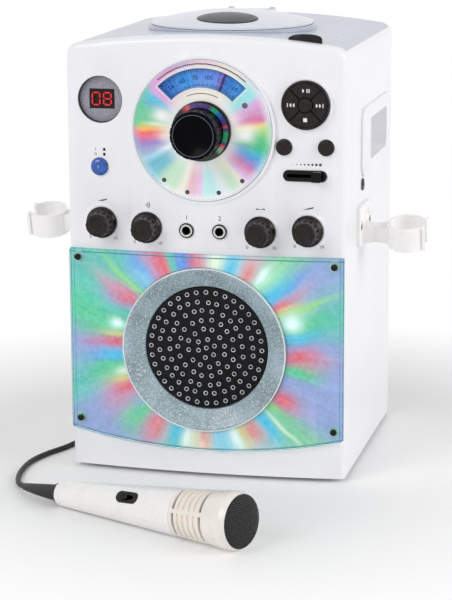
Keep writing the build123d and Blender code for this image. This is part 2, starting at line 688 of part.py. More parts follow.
def back_panel():
    """Flat back with louvres above and a recess round the sockets below."""
    panel = housing_form() & slab_y(BACK_SEAM_Y, BACK_Y)
    slot = Rot(90, 0, 0) * extrude(SlotOverall(VENT_LENGTH, VENT_WIDTH, rotation=90), 2 * WALL, both=True)
    first = -VENT_PITCH * (VENT_SLOTS - 1) / 2
    panel -= [Pos(first + index * VENT_PITCH, BACK_Y, VENT_Z) * slot for index in range(VENT_SLOTS)]
    low_x, high_x = min(SOCKET_XS) - SOCKET_TRAY_MARGIN, INLET_X + SOCKET_TRAY_MARGIN
    low_z, high_z = SOCKET_Z - SOCKET_TRAY_HEIGHT / 2, SOCKET_Z + SOCKET_TRAY_HEIGHT / 2
    tray = block((low_x, high_x), (BACK_Y - SOCKET_TRAY_DEPTH, BACK_Y), (low_z, high_z))
    hollow = block((low_x + WALL, high_x - WALL), (SOCKET_FLOOR_Y, BACK_Y + WALL),
                   (low_z + WALL, high_z - WALL))
    panel = panel + tray - fillet(hollow.edges().filter_by(Axis.Y), WALL)
    through = (BACK_Y - 2 * SOCKET_TRAY_DEPTH, BACK_Y)
    panel -= [rod_y(SOCKET_RADIUS + FIT, x, SOCKET_Z, through) for x in SOCKET_XS]
    panel -= rod_y(INLET_RADIUS + FIT, INLET_X, SOCKET_Z, through)
    for x, z in back_screw_places():
        panel -= rod_y(PILOT_RADIUS + FIT, x, z, (BACK_SEAM_Y - WALL, BACK_Y + WALL))
        panel -= rod_y(SCREW_RADIUS + FIT, x, z, (BACK_Y - SCREW_SINK, BACK_Y + WALL))
    return panel


def screw(head_radius, head_height, shank_length):
    """Pan-head screw along local Z, head up, seated on z = 0."""
    shank_radius = PILOT_RADIUS - SHAFT_FIT
    body = turned((0, -shank_length), (shank_radius, -shank_length), (shank_radius, 0), (head_radius, 0),
                  (head_radius, head_height * 0.5), (head_radius * 0.6, head_height), (0, head_height))
    cross = Box(head_radius, head_height * 0.4, head_height)
    return body - [Pos(0, 0, head_height) * cross, Pos(0, 0, head_height) * Rot(0, 0, 90) * cross]


def case_screws():
    """Screws of the back panel, of both holders and of the light box's cover."""
    solids = [Pos(x, BACK_Y - SCREW_SINK, z) * Rot(-90, 0, 0) * screw(SCREW_RADIUS, 1.6, 14)
              for x, z in back_screw_places()]
    for y, z in holder_screw_places():
        seat = SIDE_X + SEAT_GAP + PLATE_THICKNESS - SCREW_SINK
        right = Pos(seat, y, z) * Rot(0, 90, 0) * screw(SCREW_RADIUS, 1.3, 8)
        solids += [right, mirrored(right)]
    for x, z in cover_screw_places():
        y = bow_y(abs(x) - COVER_SCREW_RADIUS, COVER_THICKNESS + 2 * SEAT_GAP)
        solids.append(facing_front(x, y, z) * screw(COVER_SCREW_RADIUS, 2.0, 8))
    return group(*solids)


def rubber_feet():
    """Round feet with a plug pressed up into the floor of the cabinet."""
    plug = PILOT_RADIUS - SHAFT_FIT
    rounding = 1.5
    foot = turned((0, 0), (FOOT_RADIUS - rounding, 0), (FOOT_RADIUS, rounding), (FOOT_RADIUS, FOOT_HEIGHT),
                  (plug, FOOT_HEIGHT), (plug, FLOOR_TOP), (0, FLOOR_TOP))
    return group(*[Pos(x, y, 0) * foot for x, y in foot_places()])


# ---- Light box and speaker ----
def light_cover():
    """Clear bowed cover with a round hole for the speaker's ring."""
    plate = cover_column(0, APEX_Y - 2 * COVER_THICKNESS, SEAM_Y)
    plate = plate & (bow_column(COVER_THICKNESS + SEAT_GAP) - bow_column(SEAT_GAP))
    plate -= rod_y(RING_RADIUS + FIT, 0, SPEAKER_Z, (APEX_Y - 2 * COVER_THICKNESS, SEAM_Y))
    holes = [rod_y(PILOT_RADIUS + FIT, x, z, (APEX_Y - 2 * COVER_THICKNESS, SEAM_Y))
             for x, z in cover_screw_places()]
    return plate - holes


def light_places():
    """Centres of the coloured lamps round the speaker."""
    places = []
    for index in range(LIGHT_COUNT):
        angle = 2 * pi * (index + 0.5) / LIGHT_COUNT
        places.append((LIGHT_CIRCLE_RADIUS * cos(angle), SPEAKER_Z + LIGHT_CIRCLE_RADIUS * sin(angle)))
    return [(x, z) for x, z in places if z < COVER_TOP - BOX_BORDER - 2 * LIGHT_RADIUS]


def corner_notch(x, z):
    """Square notch round a cover screw's boss, open to the nearest corner."""
    reach = COVER_BOSS_RADIUS + FIT
    across = (x - reach, SIDE_X) if x > 0 else (-SIDE_X, x + reach)
    up = (z - reach, COVER_TOP) if z > SPEAKER_Z else (0, z + reach)
    return block(across, (APEX_Y, SEAM_Y), up)


def light_reflector():
    """Pleated sheet on the light box's floor that throws the beams outwards."""
    back_y = BOX_FLOOR_Y - SEAT_GAP
    face_y = back_y - REFLECTOR_THICKNESS
    sheet = cover_column(BOX_BORDER + FIT, face_y, back_y)
    pleat = make_face(Polyline((-PLEAT_WIDTH / 2, 0), (PLEAT_WIDTH / 2, 0), (0, PLEAT_HEIGHT), close=True))
    ridge = Rot(0, 90, 0) * Rot(0, 0, 90) * extrude(pleat, SIDE_X)
    box = cover_column(BOX_BORDER + FIT, APEX_Y, back_y)
    ridges = []
    for index in range(REFLECTOR_PLEATS):
        angle = (index + 0.5) * 360 / REFLECTOR_PLEATS
        place = facing_front(0, face_y, SPEAKER_Z) * Rot(0, 0, angle) * Pos(RING_RADIUS, 0, 0)
        ridges.append((place * ridge) & box)
    sheet += ridges
    through = (APEX_Y, SEAM_Y)
    holes = [rod_y(RING_RADIUS + FIT, 0, SPEAKER_Z, through)]
    holes += [corner_notch(x, z) for x, z in cover_screw_places()]
    holes += [rod_y(LIGHT_RADIUS + FIT, x, z, through) for x, z in light_places()]
    return sheet - holes


def light_leds():
    """Domed lamps that stand on the light box's floor."""
    r = LIGHT_RADIUS
    lamp = turned((0, 0), (r, 0), (r, LIGHT_LENGTH - r), (r * 0.85, LIGHT_LENGTH - r / 2),
                  (r * 0.5, LIGHT_LENGTH - r / 8), (0, LIGHT_LENGTH))
    return group(*[facing_front(x, BOX_FLOOR_Y, z) * lamp for x, z in light_places()])


def glitter_ring():
    """Clear funnel-shaped ring between the cover and the grille, hollow behind."""
    front = BOX_FLOOR_Y - (APEX_Y - COVER_THICKNESS + 0.5)
    outer = RING_RADIUS
    inner = GRILLE_RADIUS + 0.5
    step = GRILLE_THICKNESS + 1.5
    ring = turned((outer - RING_WALL, 0), (outer, 0), (outer, front), (outer - RING_WALL, front),
                  (inner, step), (inner, 0), (inner + RING_WALL, 0), (inner + RING_WALL, step - 0.5),
                  (outer - RING_WALL, front - RING_WALL - 1))
    return facing_front(0, BOX_FLOOR_Y, SPEAKER_Z) * ring


def stud_places():
    """Centres of the grille's studs, on rings of six more each."""
    places = [(0.0, 0.0)]
    pitch = (GRILLE_RADIUS - 2 * STUD_RADIUS) / STUD_RINGS
    for ring in range(1, STUD_RINGS + 1):
        for index in range(6 * ring):
            angle = radians(60 * index / ring + STUD_TWIST * ring)
            places.append((pitch * ring * cos(angle), pitch * ring * sin(angle)))
    return places


def speaker_grille():
    """Round grille on the edge of the speaker's hole, covered with raised studs."""
    rim_radius = SPEAKER_HOLE_RADIUS - FIT
    plate = disc(GRILLE_RADIUS, 0, GRILLE_THICKNESS)
    rim = disc(rim_radius, -WALL, 0) - disc(rim_radius - 2, -WALL, 0)
    stud = extrude(RegularPolygon(STUD_RADIUS, 6), STUD_HEIGHT, taper=18)
    studs = [Pos(x, y, GRILLE_THICKNESS) * stud for x, y in stud_places()]
    return facing_front(0, BOX_FLOOR_Y, SPEAKER_Z) * (plate + rim + studs)


def speaker_driver():
    """Basket, cone and magnet behind the grille."""
    hole = SPEAKER_HOLE_RADIUS
    magnet = MAGNET_RADIUS
    neck = -SPEAKER_DEPTH / 2
    basket = turned((hole - 4, 0), (hole + 9, 0), (hole + 9, -2), (hole + 1, -2), (magnet, neck),
                    (magnet + 2, neck - 1), (magnet + 2, -SPEAKER_DEPTH), (0, -SPEAKER_DEPTH), (0, neck - 4),
                    (magnet - 4, neck - 4), (magnet - 4, neck), (hole - 4, -4))
    cone = turned((0, -9), (11, -12), (14, -16), (hole - 9, -1.5), (hole - 6, -0.6), (hole - 6, -2.6),
                  (hole - 9, -3.2), (14, -18), (12, neck - 4), (0, neck - 4))
    place = facing_front(0, BOX_FLOOR_Y + WALL + SEAT_GAP, SPEAKER_Z)
    return place * (basket + cone)


# ---- Tuning dial ----
def dial_frame(y):
    """Local frame on the dial's axis, +Z out of the front."""
    return facing_front(0, y, DIAL_Z)


def window_sector(grow, height):
    """Arc-shaped window of the dial, grown on every side."""
    extra = degrees(2 * grow / (WINDOW_INNER + WINDOW_OUTER))
    return sector(WINDOW_INNER - grow, WINDOW_OUTER + grow, 90 - WINDOW_HALF_ANGLE - extra,
                  90 + WINDOW_HALF_ANGLE + extra, height)


def dial_disc():
    """Round face of the dial with its arc-shaped window and three pegs behind."""
    face = disc(DIAL_RADIUS, 0, DIAL_THICKNESS)
    face = chamfer(face.edges().group_by(Axis.Z)[-1], DIAL_THICKNESS / 4)
    face -= Pos(0, 0, -DIAL_THICKNESS) * window_sector(0, 3 * DIAL_THICKNESS)
    face -= disc(TUNING_HUB_RADIUS + FIT, -DIAL_THICKNESS, 2 * DIAL_THICKNESS)
    pegs = [Rot(0, 0, angle) * Pos(DIAL_RADIUS - 6, 0, 0) * disc(3, DIAL_BACK_Y - DIAL_FLOOR_Y, 0)
            for angle in (-150, -90, -30)]
    return dial_frame(DIAL_BACK_Y) * (face + pegs)


def dial_window():
    """Clear lens in the dial's window, with a lip behind the disc."""
    lip_thickness = 0.7
    lens = Pos(0, 0, -SEAT_GAP) * window_sector(-FIT / 2, DIAL_THICKNESS)
    lip = Pos(0, 0, -SEAT_GAP - lip_thickness) * window_sector(WINDOW_LIP, lip_thickness)
    return dial_frame(DIAL_BACK_Y) * (lens + lip)


def dial_pointer():
    """Pointer on its hub, between the dial's floor and the lens."""
    hub = disc(POINTER_HUB_RADIUS, 0, 1.5 * POINTER_THICKNESS)
    hub -= disc(SHAFT_RADIUS + FIT, -POINTER_THICKNESS, 2 * POINTER_THICKNESS)
    root = POINTER_HUB_RADIUS - 1
    arm = Pos((POINTER_TIP + root) / 2, 0, POINTER_THICKNESS / 2)
    arm *= Box(POINTER_TIP - root, POINTER_WIDTH, POINTER_THICKNESS)
    return dial_frame(DIAL_FLOOR_Y - FIT) * Rot(0, 0, 90 - POINTER_ANGLE) * (hub + arm)


def tuning_ring():
    """Fixed collar round the tuning knob, glued on the dial's disc."""
    outer = TUNING_RING_RADIUS
    inner = TUNING_HUB_RADIUS + 1
    high = TUNING_RING_HEIGHT
    ring = turned((inner, 0), (outer, 0), (outer, 3), (outer - 2, high - 0.5), (outer - 3.5, high),
                  (outer - 4.5, high - 2.5), (inner, 3))
    return dial_frame(DIAL_FACE_Y - SEAT_GAP) * ring


def tuning_knob():
    """Large knob with a dished face and a fine grip, on a stepped shaft."""
    radius = TUNING_KNOB_RADIUS
    low = TUNING_RING_HEIGHT - 1.7
    high = TUNING_RING_HEIGHT + TUNING_KNOB_HEIGHT
    hub = TUNING_HUB_RADIUS - 1
    reach = DIAL_FACE_Y - pot_stop()
    body = turned((0, low), (radius, low), (radius, high - 1.5), (radius - 1.5, high), (radius - 3, high),
                  (radius - 5, high - 1.2), (0, high - 2.2))
    flute = disc(1.1, low + 4, high + 1)
    body -= [Rot(0, 0, index * 360 / TUNING_FLUTES) * Pos(radius + 0.5, 0, 0) * flute
             for index in range(TUNING_FLUTES)]
    shaft = turned((0, reach), (SHAFT_RADIUS, reach), (SHAFT_RADIUS, -1), (hub, -1), (hub, low), (0, low))
    return dial_frame(DIAL_FACE_Y) * (body + shaft)


# ---- Display, buttons and knobs ----
def display_floor():
    """Floor of the round recess of the display."""
    return bow_y(DISPLAY_X) + DISPLAY_RECESS


def digits_block(grow, y_front, y_back):
    """Rectangular window of the digits, run along Y."""
    half_width = DIGITS_WIDTH / 2 + grow
    half_height = DIGITS_HEIGHT / 2 + grow
    return block((DISPLAY_X - half_width, DISPLAY_X + half_width), (y_front, y_back),
                 (DISPLAY_Z - half_height, DISPLAY_Z + half_height))


def display_face():
    """Grey disc at the bottom of the round recess."""
    back = display_floor() - SEAT_GAP
    face = rod_y(DISPLAY_RADIUS - FIT, DISPLAY_X, DISPLAY_Z, (back - DISPLAY_FACE_THICKNESS, back))
    return face - digits_block(FIT, back - 2 * DISPLAY_FACE_THICKNESS, BOARD_Y)


def digit_bars():
    """The seven bars of one digit, as shallow raised strips."""
    width, height, bar = 7.0, 11.0, 1.2
    places = [(0, z * height / 2, width - 2, bar) for z in (-1, 0, 1)]
    places += [(x * width / 2, z * height / 4, bar, height / 2 - 1.4) for x in (-1, 1) for z in (-1, 1)]
    return [Pos(x, z, 0) * Box(across, up, 0.6) for x, z, across, up in places]


def display_leds():
    """Block of two seven-bar digits and the two indicator lamps, all standing on the control board."""
    front = display_floor() - SEAT_GAP - DISPLAY_FACE_THICKNESS + SEAT_GAP
    digits = digits_block(0, front, BOARD_Y)
    for side in (-1, 1):
        place = facing_front(DISPLAY_X + side * DIGIT_PITCH / 2, front, DISPLAY_Z)
        digits += [place * bar for bar in digit_bars()]
    lamps = [rod_y(LED_RADIUS, LED_X, z, (bow_y(LED_X) - SEAT_PROUD, BOARD_Y)) for z in LED_ZS]
    return group(digits, *lamps)


def push_button(x, z, radius, proud, dome=0.6):
    """Round cap with a retaining flange behind the panel and a stem to its switch."""
    front = seat_front(x, radius)
    back = front - seat_back(x, radius) - SEAT_GAP
    stem_end = front - (BOARD_Y - SWITCH_HEIGHT)
    flange = radius + BUTTON_FLANGE
    cap = turned((0, stem_end), (STEM_RADIUS, stem_end), (STEM_RADIUS, back - 1.5), (flange, back - 1.5),
                 (flange, back), (radius, back), (radius, proud - dome), (radius - dome, proud - 0.4),
                 (radius * 0.5, proud - 0.1), (0, proud))
    return facing_front(x, front, z) * cap


def pad_offsets():
    """Middles of the pad's buttons from its own: right, up, left, down, centre."""
    reach = (PAD_BUTTON_RADIUS + PAD_CENTRE_RADIUS) / 2
    return [(reach, 0), (0, reach), (-reach, 0), (0, -reach), (0, 0)]


def pad_bezel():
    """Black ring round the control pad, with a sleeve into the panel."""
    front = seat_front(PAD_X, PAD_RADIUS)
    depth = front - seat_back(PAD_X, PAD_RADIUS)
    inner = PAD_BUTTON_RADIUS + FIT
    outer = PAD_RADIUS - 1 - FIT
    rim = turned((inner, depth), (outer, depth), (outer, SEAT_GAP), (PAD_RADIUS, SEAT_GAP),
                 (PAD_RADIUS, PAD_PROUD - 0.8), (PAD_RADIUS - 0.8, PAD_PROUD), (inner, PAD_PROUD))
    return facing_front(PAD_X, front, PAD_Z) * rim


def pad_button(index):
    """One of the pad's buttons: four ring sectors and a round one in the middle."""
    front = seat_front(PAD_X, PAD_RADIUS)
    high = PAD_PROUD + 0.4
    low = high - 4.0
    stem_end = front - (BOARD_Y - SWITCH_HEIGHT)
    dx, dz = pad_offsets()[index]
    if index == len(pad_offsets()) - 1:
        cap = disc(PAD_CENTRE_RADIUS, low, high + 0.4)
    else:
        cap = Pos(0, 0, low) * sector(PAD_CENTRE_RADIUS + PAD_SEAM, PAD_BUTTON_RADIUS, 90 * index - 45,
                                      90 * index + 45, high - low)
        seam = Box(2 * PAD_RADIUS, PAD_SEAM, 6 * high)
        cap -= [Rot(0, 0, 45) * seam, Rot(0, 0, -45) * seam]
    stem = Pos(dx, dz, 0) * disc(STEM_RADIUS, stem_end, low)
    return facing_front(PAD_X, front, PAD_Z) * (cap + stem)


def control_knob(x, z):
    """Skirted knob with a fluted grip."""
    front = seat_front(x, KNOB_SKIRT_RADIUS)
    skirt = KNOB_SKIRT_RADIUS
    grip = KNOB_GRIP_RADIUS
    high = KNOB_HEIGHT
    body = turned((0, FIT), (skirt, FIT), (skirt, 2), (skirt - 2.2, 4), (grip + 0.8, 6), (grip, high - 1),
                  (grip - 1, high), (grip - 3, high), (grip - 4, high - 0.8), (0, high - 0.8))
    flute = disc(1.0, 7, high + 1)
    body -= [Rot(0, 0, (index + 0.5) * 360 / KNOB_FLUTES) * Pos(grip + 0.5, 0, 0) * flute
             for index in range(KNOB_FLUTES)]
    shaft = disc(SHAFT_RADIUS, front - pot_stop(), 1)
    return facing_front(x, front, z) * (body + shaft)


def pot_stop():
    """Where the end of a knob's shaft stands inside its potentiometer."""
    return BOARD_Y - POT_DEPTH + WALL


def potentiometers():
    """Pot behind each knob: body on the board, nose in the panel's hole."""
    solids = []
    places = [(x, z, seat_front(x, KNOB_SKIRT_RADIUS)) for x, z in KNOBS.values()]
    places.append((0.0, DIAL_Z, DIAL_FLOOR_Y))
    for x, z, front in places:
        body = rod_y(POT_RADIUS, x, z, (BOARD_Y - POT_DEPTH, BOARD_Y))
        body += rod_y(BUSH_RADIUS, x, z, (front, BOARD_Y - POT_DEPTH + 1))
        solids.append(body - rod_y(SHAFT_RADIUS + SHAFT_FIT, x, z, (front - 1, pot_stop() + 1)))
    return group(*solids)


def jack_sockets():
    """Two microphone sockets on the front and the small one on the right-hand side."""
    solids = []
    for x in jack_places():
        front = seat_front(x, JACK_RADIUS) - SEAT_GAP
        ring = rod_y(JACK_RADIUS, x, JACK_Z, (front - JACK_LIP, front))
        ring = chamfer(ring.edges().group_by(Axis.Y)[0], 0.6)
        barrel = rod_y(JACK_RADIUS - 1 - FIT, x, JACK_Z, (front, front + JACK_DEPTH))
        bore = rod_y(JACK_BORE_RADIUS, x, JACK_Z, (front - 2 * JACK_LIP, front - JACK_LIP + JACK_DEPTH))
        solids.append(ring + barrel - bore)
    collar = rod_x(AUX_RADIUS, AUX_Y, AUX_Z, (SIDE_X + SEAT_GAP, SIDE_X + 1.2))
    barrel = rod_x(AUX_RADIUS - 1 - FIT, AUX_Y, AUX_Z, (SIDE_X - AUX_DEPTH, SIDE_X + SEAT_GAP))
    bore = rod_x(AUX_BORE_RADIUS, AUX_Y, AUX_Z, (SIDE_X - AUX_DEPTH + 2, SIDE_X + WALL))
    return group(*solids, collar + barrel - bore)


def fader_track():
    """Black bezel of the fader with its slot."""
    seat = fader_front() - SEAT_GAP
    bezel = fader_column(FADER_HEIGHT, FADER_LENGTH, seat - 1, seat)
    sleeve = fader_column(FADER_HEIGHT - 2 - FIT, FADER_LENGTH - 2 - FIT, seat, fader_back())
    return bezel + sleeve - fader_column(FADER_SLOT, FADER_TRAVEL + 8, seat - WALL, fader_back() + WALL)


def fader_knob():
    """Ridged slider on a flat stem."""
    back = fader_front() - SEAT_GAP - 1 - FIT
    x = FADER_X + FADER_REST
    half = FADER_KNOB_LENGTH / 2
    cap = block((x - half, x + half), (back - FADER_KNOB_HEIGHT, back), (FADER_Z - half, FADER_Z + half))
    cap = fillet(cap.edges().filter_by(Axis.Y), 1.5)
    groove = block((-0.6, 0.6), (-0.8, 0.8), (-half - 1, half + 1))
    cap -= [Pos(x + offset_x, back - FADER_KNOB_HEIGHT, FADER_Z) * groove for offset_x in (-2.6, 0, 2.6)]
    half_slot = FADER_SLOT / 2 - FIT
    stem = block((x - 2, x + 2), (back - 1, BOARD_Y - SWITCH_HEIGHT - FIT),
                 (FADER_Z - half_slot, FADER_Z + half_slot))
    return cap + stem


def switch_places():
    """Centres of the switches behind every push button."""
    places = [(x, SMALL_BUTTON_Z) for x in SMALL_BUTTON_XS]
    places.append((POWER_X, POWER_Z))
    return places + [(PAD_X + dx, PAD_Z + dz) for dx, dz in pad_offsets()]


def control_board():
    """Board behind the front, with the switches, the fader's body and a few chips."""
    side = SIDE_X - BOARD_POST_INSET + BOARD_POST_RADIUS
    board = block((-side, side), (BOARD_Y, BOARD_Y + BOARD_THICKNESS), (BOARD_LOW, BOARD_HIGH))
    through = (BOARD_Y - WALL, BOARD_Y + WALL)
    board -= [rod_y(JACK_RADIUS, x, JACK_Z, through) for x in jack_places()]
    board -= [rod_y(PILOT_RADIUS, x, z, through) for x, z in board_post_places()]
    half = SWITCH_SIZE / 2
    switch_front = BOARD_Y - SWITCH_HEIGHT + BUTTON_TRAVEL + FIT
    parts = [block((x - half, x + half), (switch_front, BOARD_Y), (z - half, z + half))
             for x, z in switch_places()]
    half_track = FADER_TRAVEL / 2 + 10
    parts.append(block((FADER_X - half_track, FADER_X + half_track), (BOARD_Y - SWITCH_HEIGHT, BOARD_Y),
                       (FADER_Z - 4, FADER_Z + 4)))
    for x, z in ((-60, JACK_Z + 26), (20, JACK_Z + 26), (-30, DIAL_Z + 15)):
        parts.append(block((x, x + 16), (BOARD_Y + BOARD_THICKNESS / 2, BOARD_Y + 4), (z, z + 10)))
    return board + parts


# ---- Disc drive ----
def chassis_post_places():
    """Posts under the well that carry the drive's chassis."""
    y = CHASSIS_LENGTH / 2 - 2 * CHASSIS_POST_RADIUS - 3
    return [(x, WELL_Y + side * y) for x in (8 - CHASSIS_LEFT, CHASSIS_RIGHT - 24) for side in (-1, 1)]


def disc_well():
    """Round well with the flat ring that the lid closes on, and posts for the drive."""
    ring = post(LID_RADIUS + PLATFORM_MARGIN, 0, WELL_Y, (SIDE_HEIGHT - CROWN, PLATFORM_TOP))
    ring -= arched_column(-SEAT_GAP)
    ring = chamfer(ring.edges().filter_by(GeomType.CIRCLE).group_by(Axis.Z)[-1], 0.5)
    tub = post(WELL_RADIUS + WELL_WALL, 0, WELL_Y, (WELL_FLOOR_Z - WELL_WALL, PLATFORM_TOP))
    well = ring + tub - post(WELL_RADIUS, 0, WELL_Y, (WELL_FLOOR_Z, PLATFORM_TOP + WALL))
    under = WELL_FLOOR_Z - 2 * WELL_WALL
    well -= post(HUB_RADIUS + 2, 0, WELL_Y, (under, PLATFORM_TOP))
    well -= block((0, SLED_START + SLED_TRAVEL + SLED_LENS_RADIUS),
                  (WELL_Y - SLOT_WIDTH / 2, WELL_Y + SLOT_WIDTH / 2), (under, PLATFORM_TOP))
    posts = [post(CHASSIS_POST_RADIUS, x, y, (CHASSIS_Z + CHASSIS_THICKNESS, WELL_FLOOR_Z - WELL_WALL / 2))
             for x, y in chassis_post_places()]
    return well + posts


def dome_section(level, thickness):
    """Half section of the lid's domed shell, with its rim at level."""
    outer_radius = (LID_RADIUS ** 2 + LID_RISE ** 2) / (2 * LID_RISE)
    inner_radius = outer_radius - thickness
    below = outer_radius - LID_RISE

    def arc(radius):
        half_chord = sqrt(radius ** 2 - below ** 2)
        half = half_chord / 2
        half_height = sqrt(radius ** 2 - half ** 2)
        return ThreePointArc((half_chord, 0, level), (half, 0, level - below + half_height),
                             (0, 0, level - below + radius))

    outer, inner = arc(outer_radius), arc(inner_radius)
    return make_face(outer + inner + Line(outer @ 1, inner @ 1) + Line(outer @ 0, inner @ 0))


def lid_dome(thickness, lower=0.0):
    """Domed shell of the lid, lowered by lower."""
    section = dome_section(LID_RIM_Z + LID_SKIRT - lower, thickness)
    return Pos(0, WELL_Y, 0) * revolve(section, axis=Axis.Z)


def lens_window_column(grow):
    """Oval of the lid's window, upright."""
    outline = Ellipse(LENS_WINDOW_WIDTH / 2 + grow, LENS_WINDOW_LENGTH / 2 + grow)
    return Pos(LENS_WINDOW_X, WELL_Y - LENS_WINDOW_FORWARD, WELL_FLOOR_Z) * extrude(outline, 2 * LID_RADIUS)


def disc_lid():
    """Domed lid with a window hole, a skirt, and an arm with hinge pins at its back."""
    skirt = post(LID_RADIUS, 0, WELL_Y, (LID_RIM_Z, LID_RIM_Z + LID_SKIRT))
    skirt -= post(LID_RADIUS - 3, 0, WELL_Y, (LID_RIM_Z, LID_RIM_Z + LID_SKIRT))
    half = HINGE_ARM_WIDTH / 2
    arm = block((-half, half), (HINGE_Y - HINGE_GAP - 3, HINGE_Y), (LID_RIM_Z, LID_RIM_Z + LID_SKIRT + 1))
    barrel = rod_x(HINGE_BARREL_RADIUS, HINGE_Y, HINGE_Z, (-half, half))
    reach = half + HINGE_EAR_WIDTH - 1
    pins = rod_x(HINGE_PIN_RADIUS, HINGE_Y, HINGE_Z, (-reach, reach))
    return lid_dome(LID_THICKNESS) + skirt + arm + barrel + pins - lens_window_column(0)


def lid_window():
    """Smoked oval lens that follows the dome, with a thin lip under it."""
    lens = lid_dome(LID_THICKNESS + SEAT_GAP) & lens_window_column(-FIT / 2)
    lip = lid_dome(1.0, LID_THICKNESS + SEAT_GAP) & lens_window_column(LENS_LIP)
    return lens + lip


def spindle_hub():
    """Turntable, centring nose with three catches, and the spindle under it."""
    level = WELL_FLOOR_Z + HUB_HEIGHT
    foot = -HUB_HEIGHT - CHASSIS_DROP + 1
    nose = HUB_NOSE_RADIUS
    hub = turned((0, foot), (SPINDLE_RADIUS, foot), (SPINDLE_RADIUS, -HUB_HEIGHT), (HUB_RADIUS, -HUB_HEIGHT),
                 (HUB_RADIUS, -0.5), (HUB_RADIUS - 0.5, 0), (nose, 0), (nose, 2.5), (nose - 2, 5.5),
                 (0, 5.5))
    catches = [Rot(0, 0, angle) * Pos(nose - 0.8, 0, 2.2) * Sphere(1.2) for angle in (90, 210, 330)]
    return Pos(0, WELL_Y, level) * (hub + catches)


def rod_ends():
    """X of the cradles at the two ends of the guide rods."""
    return (SLED_START - SLED_LENGTH / 2 - CRADLE_LENGTH, CHASSIS_RIGHT - CRADLE_LENGTH)


def guide_rod_ys():
    """Y of the two guide rods."""
    return (WELL_Y - ROD_SPACING / 2, WELL_Y + ROD_SPACING / 2)


def drive_chassis():
    """Plate under the well with the spindle motor, the rods' cradles and the gear's axle."""
    z = CHASSIS_Z
    top = z + CHASSIS_THICKNESS
    plate = block((-CHASSIS_LEFT, CHASSIS_RIGHT), (WELL_Y - CHASSIS_LENGTH / 2, WELL_Y + CHASSIS_LENGTH / 2),
                  (z, top))
    plate = fillet(plate.edges().filter_by(Axis.Z), 6)
    first, last = rod_ends()
    plate -= block((MOTOR_RADIUS + 4, last - CRADLE_LENGTH),
                   (WELL_Y - SLOT_WIDTH / 2, WELL_Y + SLOT_WIDTH / 2), (z, top))
    plate += post(MOTOR_RADIUS, 0, WELL_Y, (z - MOTOR_DEPTH, top + 4))
    plate += post(GEAR_AXLE_RADIUS + 1.5, GEAR_X, GEAR_Y, (top - 1, ROD_Z - GEAR_THICKNESS / 2 - FIT))
    plate += post(GEAR_AXLE_RADIUS, GEAR_X, GEAR_Y, (top - 1, ROD_Z + GEAR_THICKNESS))
    for x in (first, last):
        for y in guide_rod_ys():
            plate += block((x - CRADLE_LENGTH / 2, x + CRADLE_LENGTH / 2),
                           (y - CRADLE_WIDTH / 2, y + CRADLE_WIDTH / 2), (top - 1, ROD_Z + ROD_RADIUS + 1.5))
            plate -= rod_x(ROD_RADIUS + SHAFT_FIT, y, ROD_Z, (x - CRADLE_LENGTH, x + CRADLE_LENGTH))
    return plate - post(SPINDLE_RADIUS + SHAFT_FIT, 0, WELL_Y, (z - MOTOR_DEPTH + 2, INFINITE))


def guide_rods():
    """Two steel rods that the sled runs on."""
    first, last = rod_ends()
    reach = CRADLE_LENGTH / 2 + 0.5
    return group(*[rod_x(ROD_RADIUS, y, ROD_Z, (first - reach, last + reach)) for y in guide_rod_ys()])


def laser_sled():
    """Carriage on the rods with its lens and the rack along one side."""
    half = SLED_LENGTH / 2
    low, high = ROD_Z - SLED_HEIGHT / 2, ROD_Z + SLED_HEIGHT / 2
    body = block((SLED_START - half, SLED_START + half),
                 (WELL_Y - SLED_HALF_WIDTH, WELL_Y + SLED_HALF_WIDTH), (low, high))
    body -= [rod_x(ROD_RADIUS + SHAFT_FIT, y, ROD_Z, (0, 2 * SLED_START)) for y in guide_rod_ys()]
    r = SLED_LENS_RADIUS
    lens = turned((0, 0), (r, 0), (r, 2.2), (r - 0.8, 2.6), (r - 1.4, 2.0), (0, 2.7))
    return body + Pos(SLED_START, WELL_Y, high) * lens + sled_rack()


def sled_rack():
    """Toothed bar on the sled's side towards the gear."""
    left = GEAR_X - SLED_TRAVEL - GEAR_PITCH_RADIUS / 2
    right = GEAR_X + SLED_LENGTH / 2
    root = RACK_PITCH_Y - RACK_DEDENDUM
    z_low = ROD_Z - GEAR_THICKNESS / 2
    bar = block((left, right), (WELL_Y + SLED_HALF_WIDTH, root), (z_low, z_low + GEAR_THICKNESS))
    tooth = rack_tooth(RACK_DEDENDUM + RACK_ADDENDUM)
    count = int((right - left) / (pi * GEAR_MODULE))
    first = GEAR_X + pi * GEAR_MODULE * (0.5 + int((left - GEAR_X) / (pi * GEAR_MODULE)))
    teeth = [Pos(first + pi * GEAR_MODULE * index, root - 0.05, z_low) * tooth for index in range(count)]
    return bar + teeth


def rack_tooth(height):
    """One tooth of the rack, standing towards +Y on its root."""
    slope = tan(radians(20))
    at_pitch = GEAR_MODULE * pi / 4 - 0.1
    root = at_pitch + RACK_DEDENDUM * slope
    tip = at_pitch - RACK_ADDENDUM * slope
    outline = Polyline((-root, 0), (root, 0), (tip, height), (-tip, height), close=True)
    return extrude(make_face(outline), GEAR_THICKNESS)


